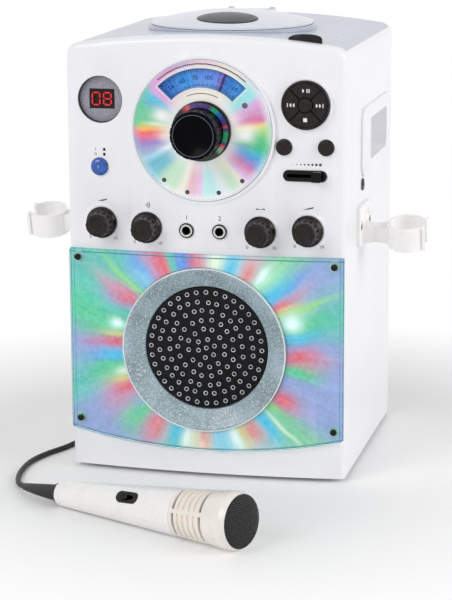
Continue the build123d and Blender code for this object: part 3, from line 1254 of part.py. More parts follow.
def sled_gear():
    """Small gear that moves the rack."""
    root = GEAR_PITCH_RADIUS - RACK_DEDENDUM
    tip = GEAR_PITCH_RADIUS + RACK_ADDENDUM
    half_root = GEAR_MODULE * pi / 2 * 0.55
    half_tip = GEAR_MODULE * pi / 2 * 0.24
    outline = Polyline((root - 0.5, -half_root), (tip, -half_tip), (tip, half_tip), (root - 0.5, half_root),
                       close=True)
    tooth = extrude(make_face(outline), GEAR_THICKNESS / 2, both=True)
    teeth = [Rot(0, 0, index * 360 / GEAR_TEETH - 90) * tooth for index in range(GEAR_TEETH)]
    boss = disc(GEAR_AXLE_RADIUS + 1.5, 0, GEAR_THICKNESS)
    gear = disc(root, -GEAR_THICKNESS / 2, GEAR_THICKNESS / 2) + boss + teeth
    return Pos(GEAR_X, GEAR_Y, ROD_Z) * (gear - disc(GEAR_AXLE_RADIUS + SHAFT_FIT, -INFINITE, INFINITE))


def open_button_hole():
    """Half-round hole in the deck for the lid's release button."""
    hole = post(OPEN_BUTTON_RADIUS + FIT, OPEN_BUTTON_X, SEAM_Y, (TOP_Z - 30, INFINITE))
    return hole & slab_y(SEAM_Y, SEAM_Y + 2 * OPEN_BUTTON_RADIUS)


def open_button():
    """Half-round dome that releases the lid, with a flange under the deck."""
    r = OPEN_BUTTON_RADIUS
    h = OPEN_BUTTON_HEIGHT
    low = -(WALL + 2 + OPEN_TRAVEL)
    cap = turned((0, low), (r + 2, low), (r + 2, low + 2), (r, low + 2), (r, h * 0.35), (r * 0.92, h * 0.65),
                 (r * 0.7, h * 0.88), (r * 0.4, h), (0, h * 1.05))
    half = block((-2 * r, 2 * r), (FIT, 2 * r), (2 * low, 2 * h))
    return Pos(OPEN_BUTTON_X, SEAM_Y, deck_z(OPEN_BUTTON_X)) * (cap & half)


# ---- Sides ----
def pocket_block(grow, depth):
    """Room for the pocket of the right-hand grip, grown by its wall."""
    half_y = POCKET_LENGTH / 2 + grow
    half_z = POCKET_HEIGHT / 2 + grow
    pocket = block((SIDE_X - depth, SIDE_X + POCKET_DEPTH), (POCKET_Y - half_y, POCKET_Y + half_y),
                   (GRIP_Z - half_z, GRIP_Z + half_z))
    return fillet(pocket.edges().filter_by(Axis.X), 5 + grow)


def side_grip():
    """Raised surround with the pocket for the fingers, on the right-hand side."""
    flange = block((SIDE_X + SEAT_GAP, SIDE_X + GRIP_PROUD),
                   (GRIP_Y - GRIP_LENGTH / 2, GRIP_Y + GRIP_LENGTH / 2),
                   (GRIP_Z - GRIP_HEIGHT / 2, GRIP_Z + GRIP_HEIGHT / 2))
    flange = fillet(flange.edges().filter_by(Axis.X), GRIP_RADIUS)
    flange = fillet(flange.faces().sort_by(Axis.X)[-1].edges(), GRIP_PROUD * 0.6)
    inside = block((0, SIDE_X + GRIP_PROUD / 2), (-INFINITE, INFINITE), (0, INFINITE))
    cup = pocket_block(GRIP_WALL, POCKET_DEPTH + GRIP_WALL) & inside
    return flange + cup - pocket_block(0, POCKET_DEPTH)


def holder_screw_places():
    """Screws of a holder's plate."""
    reach = PLATE_LENGTH / 2 - PLATE_SCREW_INSET
    return [(PLATE_Y - reach, PLATE_Z), (PLATE_Y + reach, PLATE_Z)]


def holder_plate():
    """Rounded plate of the right-hand holder with its two screw holes."""
    back = SIDE_X + SEAT_GAP
    front = back + PLATE_THICKNESS
    plate = block((back, front), (PLATE_Y - PLATE_LENGTH / 2, PLATE_Y + PLATE_LENGTH / 2),
                  (PLATE_Z - PLATE_HEIGHT / 2, PLATE_Z + PLATE_HEIGHT / 2))
    plate = fillet(plate.edges().filter_by(Axis.X), 6)
    plate = fillet(plate.faces().sort_by(Axis.X)[-1].edges(), 1.2)
    for y, z in holder_screw_places():
        plate -= rod_x(PILOT_RADIUS + FIT, y, z, (back - 1, front + 1))
        plate -= rod_x(SCREW_RADIUS + FIT, y, z, (front - SCREW_SINK, front + 1))
    return plate


def mic_holder():
    """Right-hand holder: plate on the side wall, waisted neck and sprung ring with flared lips."""
    inner = HOLDER_RADIUS - HOLDER_WALL
    half_mouth = HOLDER_MOUTH / 2
    band = Pos(0, 0, -HOLDER_HEIGHT / 2) * sector(inner, HOLDER_RADIUS, half_mouth, 360 - half_mouth,
                                                  HOLDER_HEIGHT)
    lips = [Rot(0, 0, side * half_mouth) * Pos(HOLDER_RADIUS - HOLDER_WALL / 2, 0, 0) * Rot(0, 0, side * 55)
            * Pos(HOLDER_LIP * 0.4, 0, 0) * Box(HOLDER_LIP, HOLDER_WALL, HOLDER_HEIGHT) for side in (-1, 1)]
    far, near = -HOLDER_RADIUS + HOLDER_WALL / 2, -HOLDER_REACH + PLATE_THICKNESS - 1
    middle = (far + near) / 2
    neck = make_face(Polyline((near, -NECK_FOOT / 2), (middle, -NECK_WAIST / 2), (far, -NECK_FOOT / 2 + 1),
                              (far, NECK_FOOT / 2 - 1), (middle, NECK_WAIST / 2), (near, NECK_FOOT / 2),
                              close=True))
    neck = extrude(neck, NECK_HEIGHT / 2, both=True) - Cylinder(inner + HOLDER_WALL / 2, 2 * HOLDER_HEIGHT)
    tilt = Pos(SIDE_X + HOLDER_REACH, HOLDER_Y, HOLDER_Z) * Rot(HOLDER_TILT, 0, 0)
    return holder_plate() + tilt * (band + lips + neck)


# ---- Back and inside ----
def rear_sockets():
    """Three phono sockets and the supply inlet in the back's recess."""
    seat = SOCKET_FLOOR_Y + SEAT_GAP
    solids = []
    for x in SOCKET_XS:
        barrel = rod_y(SOCKET_RADIUS, x, SOCKET_Z, (seat - SOCKET_TAIL, BACK_Y + 1))
        flange = rod_y(SOCKET_RADIUS + SOCKET_LIP, x, SOCKET_Z, (seat, seat + 1))
        bore = rod_y(SOCKET_BORE_RADIUS, x, SOCKET_Z, (seat - SOCKET_BORE_TAIL, BACK_Y + 2))
        solids.append(barrel + flange - bore)
    inlet = rod_y(INLET_RADIUS, INLET_X, SOCKET_Z, (seat - SOCKET_TAIL, BACK_Y - 3))
    inlet += rod_y(INLET_RADIUS + SOCKET_LIP, INLET_X, SOCKET_Z, (seat, seat + 1.4))
    inlet -= rod_y(INLET_BORE_RADIUS, INLET_X, SOCKET_Z, (seat - SOCKET_BORE_TAIL, BACK_Y))
    inlet += rod_y(INLET_PIN_RADIUS, INLET_X, SOCKET_Z, (seat - SOCKET_BORE_TAIL - 1, BACK_Y - 4))
    return group(*solids, inlet)


def main_board():
    """Amplifier board on the cabinet's floor, with its heat sink and capacitors."""
    low = FLOOR_TOP + MAIN_BOARD_RISE
    half = MAIN_BOARD_WIDTH / 2
    back = BACK_SEAM_Y - MAIN_BOARD_SETBACK
    front = back - MAIN_BOARD_LENGTH
    board = block((-half, half), (front, back), (low, low + BOARD_THICKNESS))
    inset = MAIN_BOARD_INSET
    board += [post(inset / 2 - 1, x, y, (FLOOR_TOP, low))
              for x in (inset - half, half - inset) for y in (front + inset, back - inset)]
    left = MAIN_BOARD_INSET * 2.5 - half
    sink_back = back - inset
    sink = block((left, left + SINK_FIN_PITCH * 7), (sink_back - SINK_DEPTH, sink_back),
                 (low, low + SINK_HEIGHT))
    fins = [left + SINK_FIN_PITCH * index for index in range(1, 7)]
    sink -= [block((x, x + SINK_FIN_PITCH / 2), (sink_back - SINK_DEPTH - 1, sink_back - SINK_DEPTH / 4),
                   (low + SINK_HEIGHT / 5, low + SINK_HEIGHT + 1)) for x in fins]
    cans = [post(CAPACITOR_RADIUS, x, back - y, (low, low + CAPACITOR_HEIGHT)) for x, y in CAPACITOR_PLACES]
    return board + sink + cans


# ---- Microphone ----
def mic_plane():
    """Local frame at the microphone's tail: +X towards its head, +Z out of its switch."""
    lean = radians(MIC_TAPER)
    heading = radians(MIC_HEADING)
    along = Vector(cos(lean) * cos(heading), cos(lean) * sin(heading), sin(lean))
    up = Vector(-sin(lean) * cos(heading), -sin(lean) * sin(heading), cos(lean))
    front = Vector(sin(heading), -cos(heading), 0)
    roll = radians(MIC_ROLL)
    height = MIC_TAIL_RADIUS / cos(lean) + MIC_CLEARANCE
    upward = up * sin(roll) + front * cos(roll)
    return Plane(origin=(MIC_TAIL_X, MIC_TAIL_Y, height), x_dir=along, z_dir=upward)


def mic_place():
    """The microphone's frame as a location."""
    return mic_plane().location


def mic_radius(s):
    """Outer radius of the microphone's cone at s from the tail."""
    return MIC_TAIL_RADIUS + s * tan(radians(MIC_TAPER))


def mic_turned(*points):
    """Solid of revolution about the microphone's axis from (distance, radius) points."""
    profile = make_face(Polyline(*[(s, r, 0) for s, r in points], close=True))
    return mic_place() * revolve(profile, axis=Axis.X)


def mic_handle():
    """Hollow tapered handle with a flat slot for the switch's plate."""
    end = MIC_HANDLE_LENGTH
    shell = mic_turned((0, BOOT_HOLE_RADIUS), (0, MIC_TAIL_RADIUS - 1), (1, mic_radius(1)),
                       (end, mic_radius(end)), (end, mic_radius(end) - MIC_WALL),
                       (4, mic_radius(4) - MIC_WALL), (4, BOOT_HOLE_RADIUS))
    outline = SlotOverall(SWITCH_PLATE_LENGTH + 2 * SEAT_GAP, SWITCH_PLATE_WIDTH + 2 * SEAT_GAP)
    slot = Pos(SWITCH_CENTRE, 0, mic_radius(SWITCH_CENTRE) / 2) * extrude(outline, MIC_HEAD_RADIUS)
    return shell - mic_place() * slot


def mic_switch_plate():
    """Black oval plate in the handle, with the groove that the switch slides in."""
    top = mic_radius(SWITCH_CENTRE) + 0.3
    plate = Pos(0, 0, top - 3.4) * extrude(SlotOverall(SWITCH_PLATE_LENGTH, SWITCH_PLATE_WIDTH), 3.4)
    groove = Pos(0, 0, top - 5) * extrude(SlotOverall(SWITCH_TRAVEL + 6 + 2 * FIT, 3 + 2 * FIT), 10)
    return mic_place() * Pos(SWITCH_CENTRE, 0, 0) * (plate - groove)


def mic_switch():
    """Sliding on and off switch with three grooves across it."""
    low = mic_radius(SWITCH_CENTRE) + 0.3 + FIT
    cap = extrude(SlotOverall(9, 6), 1.8)
    cap -= [Pos(x, 0, 1.8) * Box(0.8, 4.4, 1.0) for x in (-1.8, 0, 1.8)]
    stem = Pos(0, 0, -3.2) * extrude(SlotOverall(6, 3), 3.4)
    return mic_place() * Pos(SWITCH_CENTRE - SWITCH_TRAVEL / 2, 0, low) * (cap + stem)


def mic_vent():
    """Ribbed sleeve with panels of slots, and the plain collar that holds the grille."""
    start = MIC_HANDLE_LENGTH
    collar = start + MIC_VENT_LENGTH
    end = collar + MIC_COLLAR_LENGTH
    flare = collar + MIC_COLLAR_LENGTH * 0.6
    inner = mic_radius(start) - MIC_WALL - 1
    sleeve = mic_turned((start, inner), (start, mic_radius(start) - 0.3), (collar, mic_radius(collar) - 0.3),
                        (collar + 1, mic_radius(collar)), (flare, MIC_HEAD_RADIUS),
                        (end - 4, MIC_HEAD_RADIUS), (end, MIC_GRILLE_RADIUS + 0.2),
                        (end, MIC_GRILLE_RADIUS - MIC_WALL),
                        (collar, mic_radius(collar) - MIC_WALL - 1))
    pitch = (MIC_VENT_LENGTH - 9) / (MIC_VENT_RIBS - 1)
    cuts = []
    for step in range(MIC_VENT_RIBS):
        s = start + 3.5 + step * pitch
        at_end = step in (0, MIC_VENT_RIBS - 1)
        depth = 3.0 if at_end else 1.0
        length = 2.6 if at_end else 2.0
        arc = sector(mic_radius(s) - depth, mic_radius(s) + 2,
                     -MIC_VENT_HALF_ANGLE, MIC_VENT_HALF_ANGLE, length)
        cuts += [Rot(panel * 360 / MIC_VENT_PANELS + 18, 0, 0) * Pos(s, 0, 0) * Rot(0, 90, 0) * arc
                 for panel in range(MIC_VENT_PANELS)]
    return sleeve - [mic_place() * cut for cut in cuts]


def mic_grille():
    """Low dome of black mesh."""
    start = MIC_HANDLE_LENGTH + MIC_VENT_LENGTH + MIC_COLLAR_LENGTH + SEAT_GAP
    r = MIC_GRILLE_RADIUS
    rise = MIC_GRILLE_RISE
    curve = (r ** 2 + rise ** 2) / (2 * rise)
    middle = rise - curve + sqrt(curve ** 2 - (r / 2) ** 2)
    dome = ThreePointArc((start, r, 0), (start + middle, r / 2, 0), (start + rise, 0, 0))
    section = make_face(dome + Line((start + rise, 0), (start, 0)) + Line((start, 0), (start, r)))
    return mic_place() * revolve(section, axis=Axis.X)


def boot_stations():
    """Frames along the boot's bend, from the microphone's tail to the tip."""
    count = 5
    base = mic_plane()
    drop = (base.origin.Z - CORD_Z - BOOT_TIP_RADIUS) / BOOT_LENGTH
    origin = Vector(*base.origin)
    stations = []
    for index in range(count):
        heading = radians(MIC_HEADING + 180 - BOOT_BEND * index / (count - 1))
        lean = -drop * index / (count - 1) * 1.6 - (1 - index / (count - 1)) * sin(radians(MIC_TAPER))
        along = Vector(cos(heading), sin(heading), lean).normalized()
        stations.append(Plane(origin=origin, z_dir=along))
        origin = origin + along * (BOOT_LENGTH / (count - 1))
    return stations


def mic_boot():
    """Black strain relief that the cord comes out of, tapered, bent and grooved."""
    stations = boot_stations()
    last = len(stations) - 1
    rings = [station * Circle(BOOT_RADIUS + (BOOT_TIP_RADIUS - BOOT_RADIUS) * index / last)
             for index, station in enumerate(stations)]
    boot = loft(rings)
    flange = mic_turned((-3, 0), (-3, MIC_TAIL_RADIUS - 1.8), (-SEAT_GAP, MIC_TAIL_RADIUS - 1.4),
                        (-SEAT_GAP, BOOT_HOLE_RADIUS - FIT), (3, BOOT_HOLE_RADIUS - FIT), (3, 0))
    handle_end = mic_turned((-SEAT_GAP, 0), (-SEAT_GAP, MIC_HEAD_RADIUS),
                            (MIC_HANDLE_LENGTH, MIC_HEAD_RADIUS), (MIC_HANDLE_LENGTH, 0))
    return boot - handle_end + flange


def boot_tip():
    """Point where the cord leaves the boot, and its direction there."""
    tip = boot_stations()[-1]
    return tip.origin, tip.z_dir


# ---- Cord ----
def cord_route():
    """Points of the cord from the boot, round the machine's left side, to the coil behind it."""
    tip, along = boot_tip()
    return [tuple(tip), tuple(tip + along * 14), (-161.5, -176.5, CORD_Z), (-166.5, -151.0, CORD_Z),
            (-167.5, -122.0, CORD_Z), (-160.5, -95.5, CORD_Z), (-148.5, -71.0, CORD_Z),
            (-141.5, -42.0, CORD_Z), (-139.5, -4.0, CORD_Z), (-139.5, 38.0, CORD_Z), (-140.5, 78.0, CORD_Z),
            (-137.0, 108.0, CORD_Z), (-129.0, 134.0, CORD_Z), (-116.5, 157.0, CORD_Z),
            (-101.0, 177.0, CORD_Z), (-88.0, 190.5, CORD_Z)]


def route_radii(points):
    """Largest arc at each corner that the two runs beside it allow."""
    radii = []
    for before, here, after in zip(points, points[1:], points[2:]):
        into = Vector(*here) - Vector(*before)
        out = Vector(*after) - Vector(*here)
        turn = radians(into.get_angle(out))
        radii.append(0.45 * min(into.length, out.length) / tan(turn / 2))
    return radii


def mic_cord():
    """Cord along its uncoiled stretch."""
    points = cord_route()
    radii = route_radii(points)
    path = FilletPolyline(*points, radius=radii)
    cord = sweep(Plane(origin=path @ 0, z_dir=path % 0) * Circle(CORD_RADIUS), path=path)
    expected = pi * CORD_RADIUS ** 2 * path.length
    print("cord length", round(path.length, 1), "volume ratio", round(cord.volume / expected, 4))
    print("cord radii", [round(radius, 1) for radius in radii])
    x, y, z = plug_place()
    last = rod_x(CORD_RADIUS, y, z, (COIL_X, x - SEAT_GAP))
    return group(cord - mic_cord_coil(), last - mic_cord_coil())


def mic_cord_coil():
    """Outer shape of the cord that is wound up behind the machine."""
    r = COIL_ROUNDING
    coil = turned((COIL_INNER_RADIUS + r, 0), (COIL_OUTER_RADIUS - r, 0), (COIL_OUTER_RADIUS, r),
                  (COIL_OUTER_RADIUS, COIL_HEIGHT - r), (COIL_OUTER_RADIUS - r, COIL_HEIGHT),
                  (COIL_INNER_RADIUS + r, COIL_HEIGHT), (COIL_INNER_RADIUS, COIL_HEIGHT - r),
                  (COIL_INNER_RADIUS, r))
    return Pos(COIL_X, COIL_Y, CORD_CLEARANCE) * coil


def plug_place():
    """Middle of the plug's tail, beside the tangent that leads the cord off the coil."""
    return (COIL_X + PLUG_OFFSET_X, COIL_Y + PLUG_OFFSET_Y, PLUG_BARREL_RADIUS + CORD_CLEARANCE)


def mic_plug():
    """6.35 mm plug lying at the cord's far end."""
    barrel = PLUG_BARREL_RADIUS
    pin = PLUG_RADIUS
    plug = turned((0, 0), (3.4, 0), (4.2, 14), (barrel, 16), (barrel, 42), (5.2, 44), (5.2, 46), (pin, 46),
                  (pin, 70), (pin - 0.9, 71.5), (pin - 0.2, 74), (1.0, 77), (0, 77))
    return Pos(*plug_place()) * Rot(0, 90, 0) * plug


# ---- Build and write ----
def controls():
    """Every knob and button by name."""
    pad_names = ("pad_next_button", "pad_play_button", "pad_back_button", "pad_stop_button",
                 "pad_centre_button")
    nodes = {name: control_knob(*place) for name, place in KNOBS.items()}
    nodes.update({name: pad_button(index) for index, name in enumerate(pad_names)})
    for name, x in zip(("program_button", "repeat_button"), SMALL_BUTTON_XS):
        nodes[name] = push_button(x, SMALL_BUTTON_Z, SMALL_BUTTON_RADIUS, BUTTON_PROUD)
    nodes["power_button"] = push_button(POWER_X, POWER_Z, POWER_RADIUS, POWER_PROUD, 2.0)
    return nodes


def sides():
    """The grips and the holders of both sides by name."""
    grip, holder = side_grip(), mic_holder()
    return {"side_grip_right": grip, "side_grip_left": mirrored(grip),
            "mic_holder_right": holder, "mic_holder_left": mirrored(holder)}


SINGLES = (cabinet, front_panel, back_panel, case_screws, rubber_feet, light_cover,
           light_reflector, light_leds, glitter_ring, speaker_grille, speaker_driver, dial_disc, dial_window,
           dial_pointer, tuning_ring, tuning_knob, display_face, display_leds, pad_bezel, potentiometers,
           jack_sockets, fader_track, fader_knob, control_board, disc_well, disc_lid, lid_window,
           spindle_hub, drive_chassis, guide_rods, laser_sled, sled_gear, open_button, rear_sockets,
           main_board, mic_handle, mic_switch_plate, mic_switch, mic_vent, mic_grille, mic_boot, mic_cord,
           mic_cord_coil, mic_plug)


def build_all():
    """Every node of the machine by name."""
    nodes = {make.__name__: make() for make in SINGLES}
    nodes.update(controls())
    nodes.update(sides())
    return nodes


def main():
    """Write one STEP file per node."""
    os.makedirs("parts", exist_ok=True)
    for name, shape in build_all().items():
        export_step(shape, f"parts/{name}.step")


main()
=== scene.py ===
"""Dresses the karaoke machine: finishes, light show, printed marks, wire mesh and wound cord."""
import json
import logging
import math
import random
from dataclasses import dataclass, field
from enum import Enum
from typing import Callable, ClassVar, Iterable, Sequence

import bmesh
import bpy
from mathutils import Euler, Matrix, Vector, noise


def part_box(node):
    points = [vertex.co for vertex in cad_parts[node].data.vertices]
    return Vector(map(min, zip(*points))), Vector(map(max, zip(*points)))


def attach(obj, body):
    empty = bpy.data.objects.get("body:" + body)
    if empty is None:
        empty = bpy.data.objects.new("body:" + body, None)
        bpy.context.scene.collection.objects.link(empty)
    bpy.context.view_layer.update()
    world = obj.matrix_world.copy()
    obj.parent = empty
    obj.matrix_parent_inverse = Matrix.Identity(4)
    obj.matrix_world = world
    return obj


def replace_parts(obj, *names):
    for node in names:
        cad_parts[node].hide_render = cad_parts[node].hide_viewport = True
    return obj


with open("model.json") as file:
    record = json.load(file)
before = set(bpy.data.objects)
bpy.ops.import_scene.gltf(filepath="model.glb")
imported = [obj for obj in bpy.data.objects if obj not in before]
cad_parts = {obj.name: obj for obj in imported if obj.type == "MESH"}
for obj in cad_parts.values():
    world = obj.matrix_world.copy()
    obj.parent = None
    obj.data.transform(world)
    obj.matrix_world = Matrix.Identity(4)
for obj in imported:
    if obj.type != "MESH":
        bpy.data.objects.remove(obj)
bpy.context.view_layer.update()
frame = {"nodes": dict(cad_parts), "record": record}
LOG = logging.getLogger("karaoke_machine")
MM = 0.001
HOUSING = "housing"
SHARP = 32.0                    # edges that turn by more degrees than this stay sharp
WELD = 0.001 * MM               # points nearer than this are one point
Colour = tuple[float, float, float]
Spot = tuple[float, float]
Mesh = bpy.types.Mesh
Socket = bpy.types.NodeSocket


# ---- Colours, node trees and finishes ----
SCREEN_LEVELS = 255
SCREEN_GAMMA = 2.2


def display(red: float, green: float, blue: float) -> Colour:
    """Linear colour of one that a screen shows as 0 to 255."""
    return tuple((value / SCREEN_LEVELS) ** SCREEN_GAMMA for value in (red, green, blue))


def blend_colours(low: Colour, high: Colour, share: float) -> Colour:
    """Colour that lies share of the way from low to high."""
    return tuple(a + (b - a) * share for a, b in zip(low, high))


def eased(share: float) -> float:
    """Share from 0 to 1 that starts and ends slowly."""
    return share * share * (3 - 2 * share)


def at_clock(clock: float, radius: float, centre: Spot = (0.0, 0.0)) -> Spot:
    """Point at a clock angle in degrees, and a distance, from a centre."""
    turn = math.radians(clock)
    return centre[0] + radius * math.sin(turn), centre[1] + radius * math.cos(turn)


class Tree:
    """The node tree of a material, or of the world, with short calls for its nodes."""

    def __init__(self, name: str, world: bpy.types.World | None = None) -> None:
        """Start an empty tree with its output.

        Args:
            name: the material's name.
            world: the world, where the tree is its own.
        """
        self.material = world or bpy.data.materials.new(name)
        self.material.use_nodes = True
        self.material.node_tree.nodes.clear()
        self.output = self.add("ShaderNodeOutputWorld" if world else "ShaderNodeOutputMaterial")

    def add(self, kind: str, inputs: dict | None = None, **settings: object) -> bpy.types.Node:
        """Add a node.

        Args:
            kind: the node's type.
            inputs: values or sockets for its inputs, by name or number.
            settings: the node's own settings.

        Returns:
            The new node.
        """
        node = self.material.node_tree.nodes.new(kind)
        for key, value in settings.items():
            setattr(node, key, value)
        for key, value in (inputs or {}).items():
            self.feed(node.inputs[key], value)
        return node

    def feed(self, socket: Socket, value: object) -> None:
        """Link a socket, or set its number or colour.

        Args:
            socket: the input.
            value: what it gets.
        """
        if isinstance(value, Socket):
            self.material.node_tree.links.new(value, socket)
        elif isinstance(value, tuple) and len(value) == 3 and socket.type == "RGBA":
            socket.default_value = (*value, 1.0)
        else:
            socket.default_value = value

    def place(self) -> Socket:
        """Point on the object, in metres."""
        return self.add("ShaderNodeTexCoord").outputs["Object"]

    def cloud(self, place: Socket, size: float, detail: float = 3.0) -> Socket:
        """Soft noise whose patches are about size across."""
        inputs = {"Vector": place, "Scale": 1 / size, "Detail": detail}
        return self.add("ShaderNodeTexNoise", inputs).outputs[0]

    def between(self, share: object, low: object, high: object) -> Socket:
        """Colour that runs from low to high."""
        return self.add("ShaderNodeMix", {0: share, 6: low, 7: high}, data_type="RGBA").outputs[2]

    def scaled(self, value: Socket, low: float, high: float, start: float = 0.0,
               end: float = 1.0) -> Socket:
        """Number that runs from low to high while value runs from start to end."""
        ranges = {"Value": value, "From Min": start, "From Max": end, "To Min": low, "To Max": high}
        return self.add("ShaderNodeMapRange", ranges).outputs[0]

    def bump(self, height: Socket, depth: float) -> Socket:
        """Normal of a surface with that relief."""
        return self.add("ShaderNodeBump", {"Height": height, "Distance": depth}).outputs[0]


@dataclass(frozen=True)
class Finish:
    """Moulded plastic, rubber or metal with the small unevenness of the real thing."""

    NOISE_RANGE = (0.3, 0.7)    # nearly all of the noise lies between these
    SMEAR_SIZE = 0.4            # size of the smears, as a share of the mottles
    COAT_ROUGHNESS = 0.12
    GRAIN_DETAIL = 2.0

    name: str
    colour: Colour
    roughness: float = 0.4
    metallic: float = 0.0
    coat: float = 0.0
    specular: float = 0.5
    mottle: float = 0.05        # share that the colour wanders
    mottle_size: float = 0.03
    smear: float = 0.08         # how far the roughness wanders
    grain_depth: float = 0.00001
    grain_size: float = 0.0008

    def material(self) -> bpy.types.Material:
        """The finish's material, made once.

        Returns:
            The material.
        """
        title = self.name + "_finish"
        known = bpy.data.materials.get(title)
        if known:
            return known
        tree = Tree(title)
        place = tree.place()
        smears = tree.cloud(place, self.SMEAR_SIZE * self.mottle_size)
        shader = tree.add("ShaderNodeBsdfPrincipled", {
            "Base Color": self.base(tree, place),
            "Roughness": tree.scaled(smears, self.roughness - self.smear,
                                     self.roughness + self.smear, *self.NOISE_RANGE),
            "Normal": tree.bump(self.relief(tree, place), self.grain_depth),
            "Metallic": self.metallic, "Coat Weight": self.coat,
            "Coat Roughness": self.COAT_ROUGHNESS, "Specular IOR Level": self.specular})
        self.extra(tree, place, shader)
        tree.feed(tree.output.inputs["Surface"], shader.outputs[0])
        return tree.material

    def base(self, tree: Tree, place: Socket) -> Socket:
        """Colour over the surface.

        Args:
            tree: the material's nodes.
            place: the point on the object.

        Returns:
            The colour's socket.
        """
        share = tree.scaled(tree.cloud(place, self.mottle_size), 0.0, 1.0, *self.NOISE_RANGE)
        darker = tuple(value * (1 - self.mottle) for value in self.colour)
        lighter = tuple(min(1.0, value * (1 + self.mottle)) for value in self.colour)
        return tree.between(share, darker, lighter)

    def relief(self, tree: Tree, place: Socket) -> Socket:
        """Height of the surface's grain."""
        return tree.cloud(place, self.grain_size, self.GRAIN_DETAIL)

    def extra(self, tree: Tree, place: Socket, shader: bpy.types.Node) -> None:
        """Room for what only some finishes have."""


@dataclass(frozen=True)
class Speckled(Finish):
    """Finish with flakes or specks of a second colour."""

    EDGE_SHARE = 0.7        # how soft the line is between flake and ground
    flake: Colour = (1.0, 1.0, 1.0)
    flake_size: float = 0.001
    flake_share: float = 0.2

    def base(self, tree: Tree, place: Socket) -> Socket:
        """Ground colour with flakes.

        Args:
            tree: the material's nodes.
            place: the point on the object.

        Returns:
            The colour's socket.
        """
        ground = super().base(tree, place)
        pick = tree.add("ShaderNodeSeparateColor", {0: self.cells(tree, place)["Color"]}).outputs[0]
        chosen = tree.scaled(pick, 0.0, 1.0, 1 - self.flake_share,
                             1 - self.EDGE_SHARE * self.flake_share)
        return tree.between(chosen, ground, self.flake)

    def cells(self, tree: Tree, place: Socket) -> bpy.types.NodeOutputs:
        """Outputs of a node that divides the surface into flakes."""
        inputs = {"Vector": place, "Scale": 1 / self.flake_size}
        return tree.add("ShaderNodeTexVoronoi", inputs).outputs

    def relief(self, tree: Tree, place: Socket) -> Socket:
        """Facets of the flakes."""
        return self.cells(tree, place)[0]


@dataclass(frozen=True)
class Clear(Finish):
    """See-through plastic."""

    passes: float = 1.0
    ior: float = 1.2

    def extra(self, tree: Tree, place: Socket, shader: bpy.types.Node) -> None:
        """Let light through."""
        tree.feed(shader.inputs["Transmission Weight"], self.passes)
        tree.feed(shader.inputs["IOR"], self.ior)


@dataclass(frozen=True)
class Lit(Finish):
    """Plastic that shines in its own colour."""

    glow: float = 0.5

    def extra(self, tree: Tree, place: Socket, shader: bpy.types.Node) -> None:
        """Shine a little."""
        tree.feed(shader.inputs["Emission Color"], self.colour)
        tree.feed(shader.inputs["Emission Strength"], self.glow)


@dataclass(frozen=True)
class Printed(Finish):
    """Surface that takes its colours from the piece's own attribute, and may shine by itself."""

    PRINT_RANGE = (0.35, 0.75)  # part of the noise that pales the print

    glow: float = 0.0

    def base(self, tree: Tree, place: Socket) -> Socket:
        """Colour of the attribute with a little grain.

        Args:
            tree: the material's nodes.
            place: the point on the object.

        Returns:
            The colour's socket.
        """
        paint = tree.add("ShaderNodeAttribute", attribute_name=Sheet.PAINT).outputs["Color"]
        specks = tree.cloud(place, self.mottle_size)
        share = tree.scaled(specks, 0.0, self.mottle, *self.PRINT_RANGE)
        return tree.between(share, paint, self.colour)

    def extra(self, tree: Tree, place: Socket, shader: bpy.types.Node) -> None:
        """Shine in the printed colours."""
        tree.feed(shader.inputs["Emission Color"], shader.inputs["Base Color"].links[0].from_socket)
        tree.feed(shader.inputs["Emission Strength"], self.glow)


WHITE_HOUSING = Finish("white_housing", display(242, 242, 246), roughness=0.34, coat=0.15,
                       mottle=0.02, mottle_size=0.12, smear=0.03, grain_depth=0.0000005)
# Bluish grey of the top's upward faces and of the disc well: painted shade, the white plastic made
# darker as if it mirrored a dark room.
SHADED_DECK = Finish("shaded_deck", display(190, 196, 211), roughness=0.3, coat=0.2, mottle=0.03,
                    mottle_size=0.1, smear=0.03)
# Darker bluish white on the lid than on the case: painted shade.
SHADED_LID = Finish("shaded_lid", display(222, 226, 237), roughness=0.25, coat=0.3, mottle=0.03,
                   mottle_size=0.1, smear=0.03)
IVORY = Finish("ivory", display(251, 249, 248), roughness=0.3, coat=0.3, mottle=0.03,
               mottle_size=0.03)
PEARL = Speckled("pearl_ivory", display(243, 241, 240), roughness=0.24, coat=0.6, mottle=0.02,
                 mottle_size=0.02, flake=display(250, 249, 248), flake_size=0.0006,
                 flake_share=0.3)
BLACK = Finish("black_plastic", display(18, 17, 18), roughness=0.38, specular=0.3, mottle=0.25,
               mottle_size=0.006, grain_depth=0.00002)
KNOB_BLACK = Finish("knob_black", display(36, 29, 29), roughness=0.26, specular=0.25, mottle=0.6,
                    mottle_size=0.003, grain_depth=0.00003)
GLOSS_BLACK = Finish("gloss_black", display(8, 8, 11), roughness=0.14, specular=0.22, mottle=0.2,
                     mottle_size=0.01, smear=0.04)
RUBBER = Finish("black_rubber", display(26, 26, 27), roughness=0.55, mottle=0.25,
                mottle_size=0.01, grain_depth=0.00004)
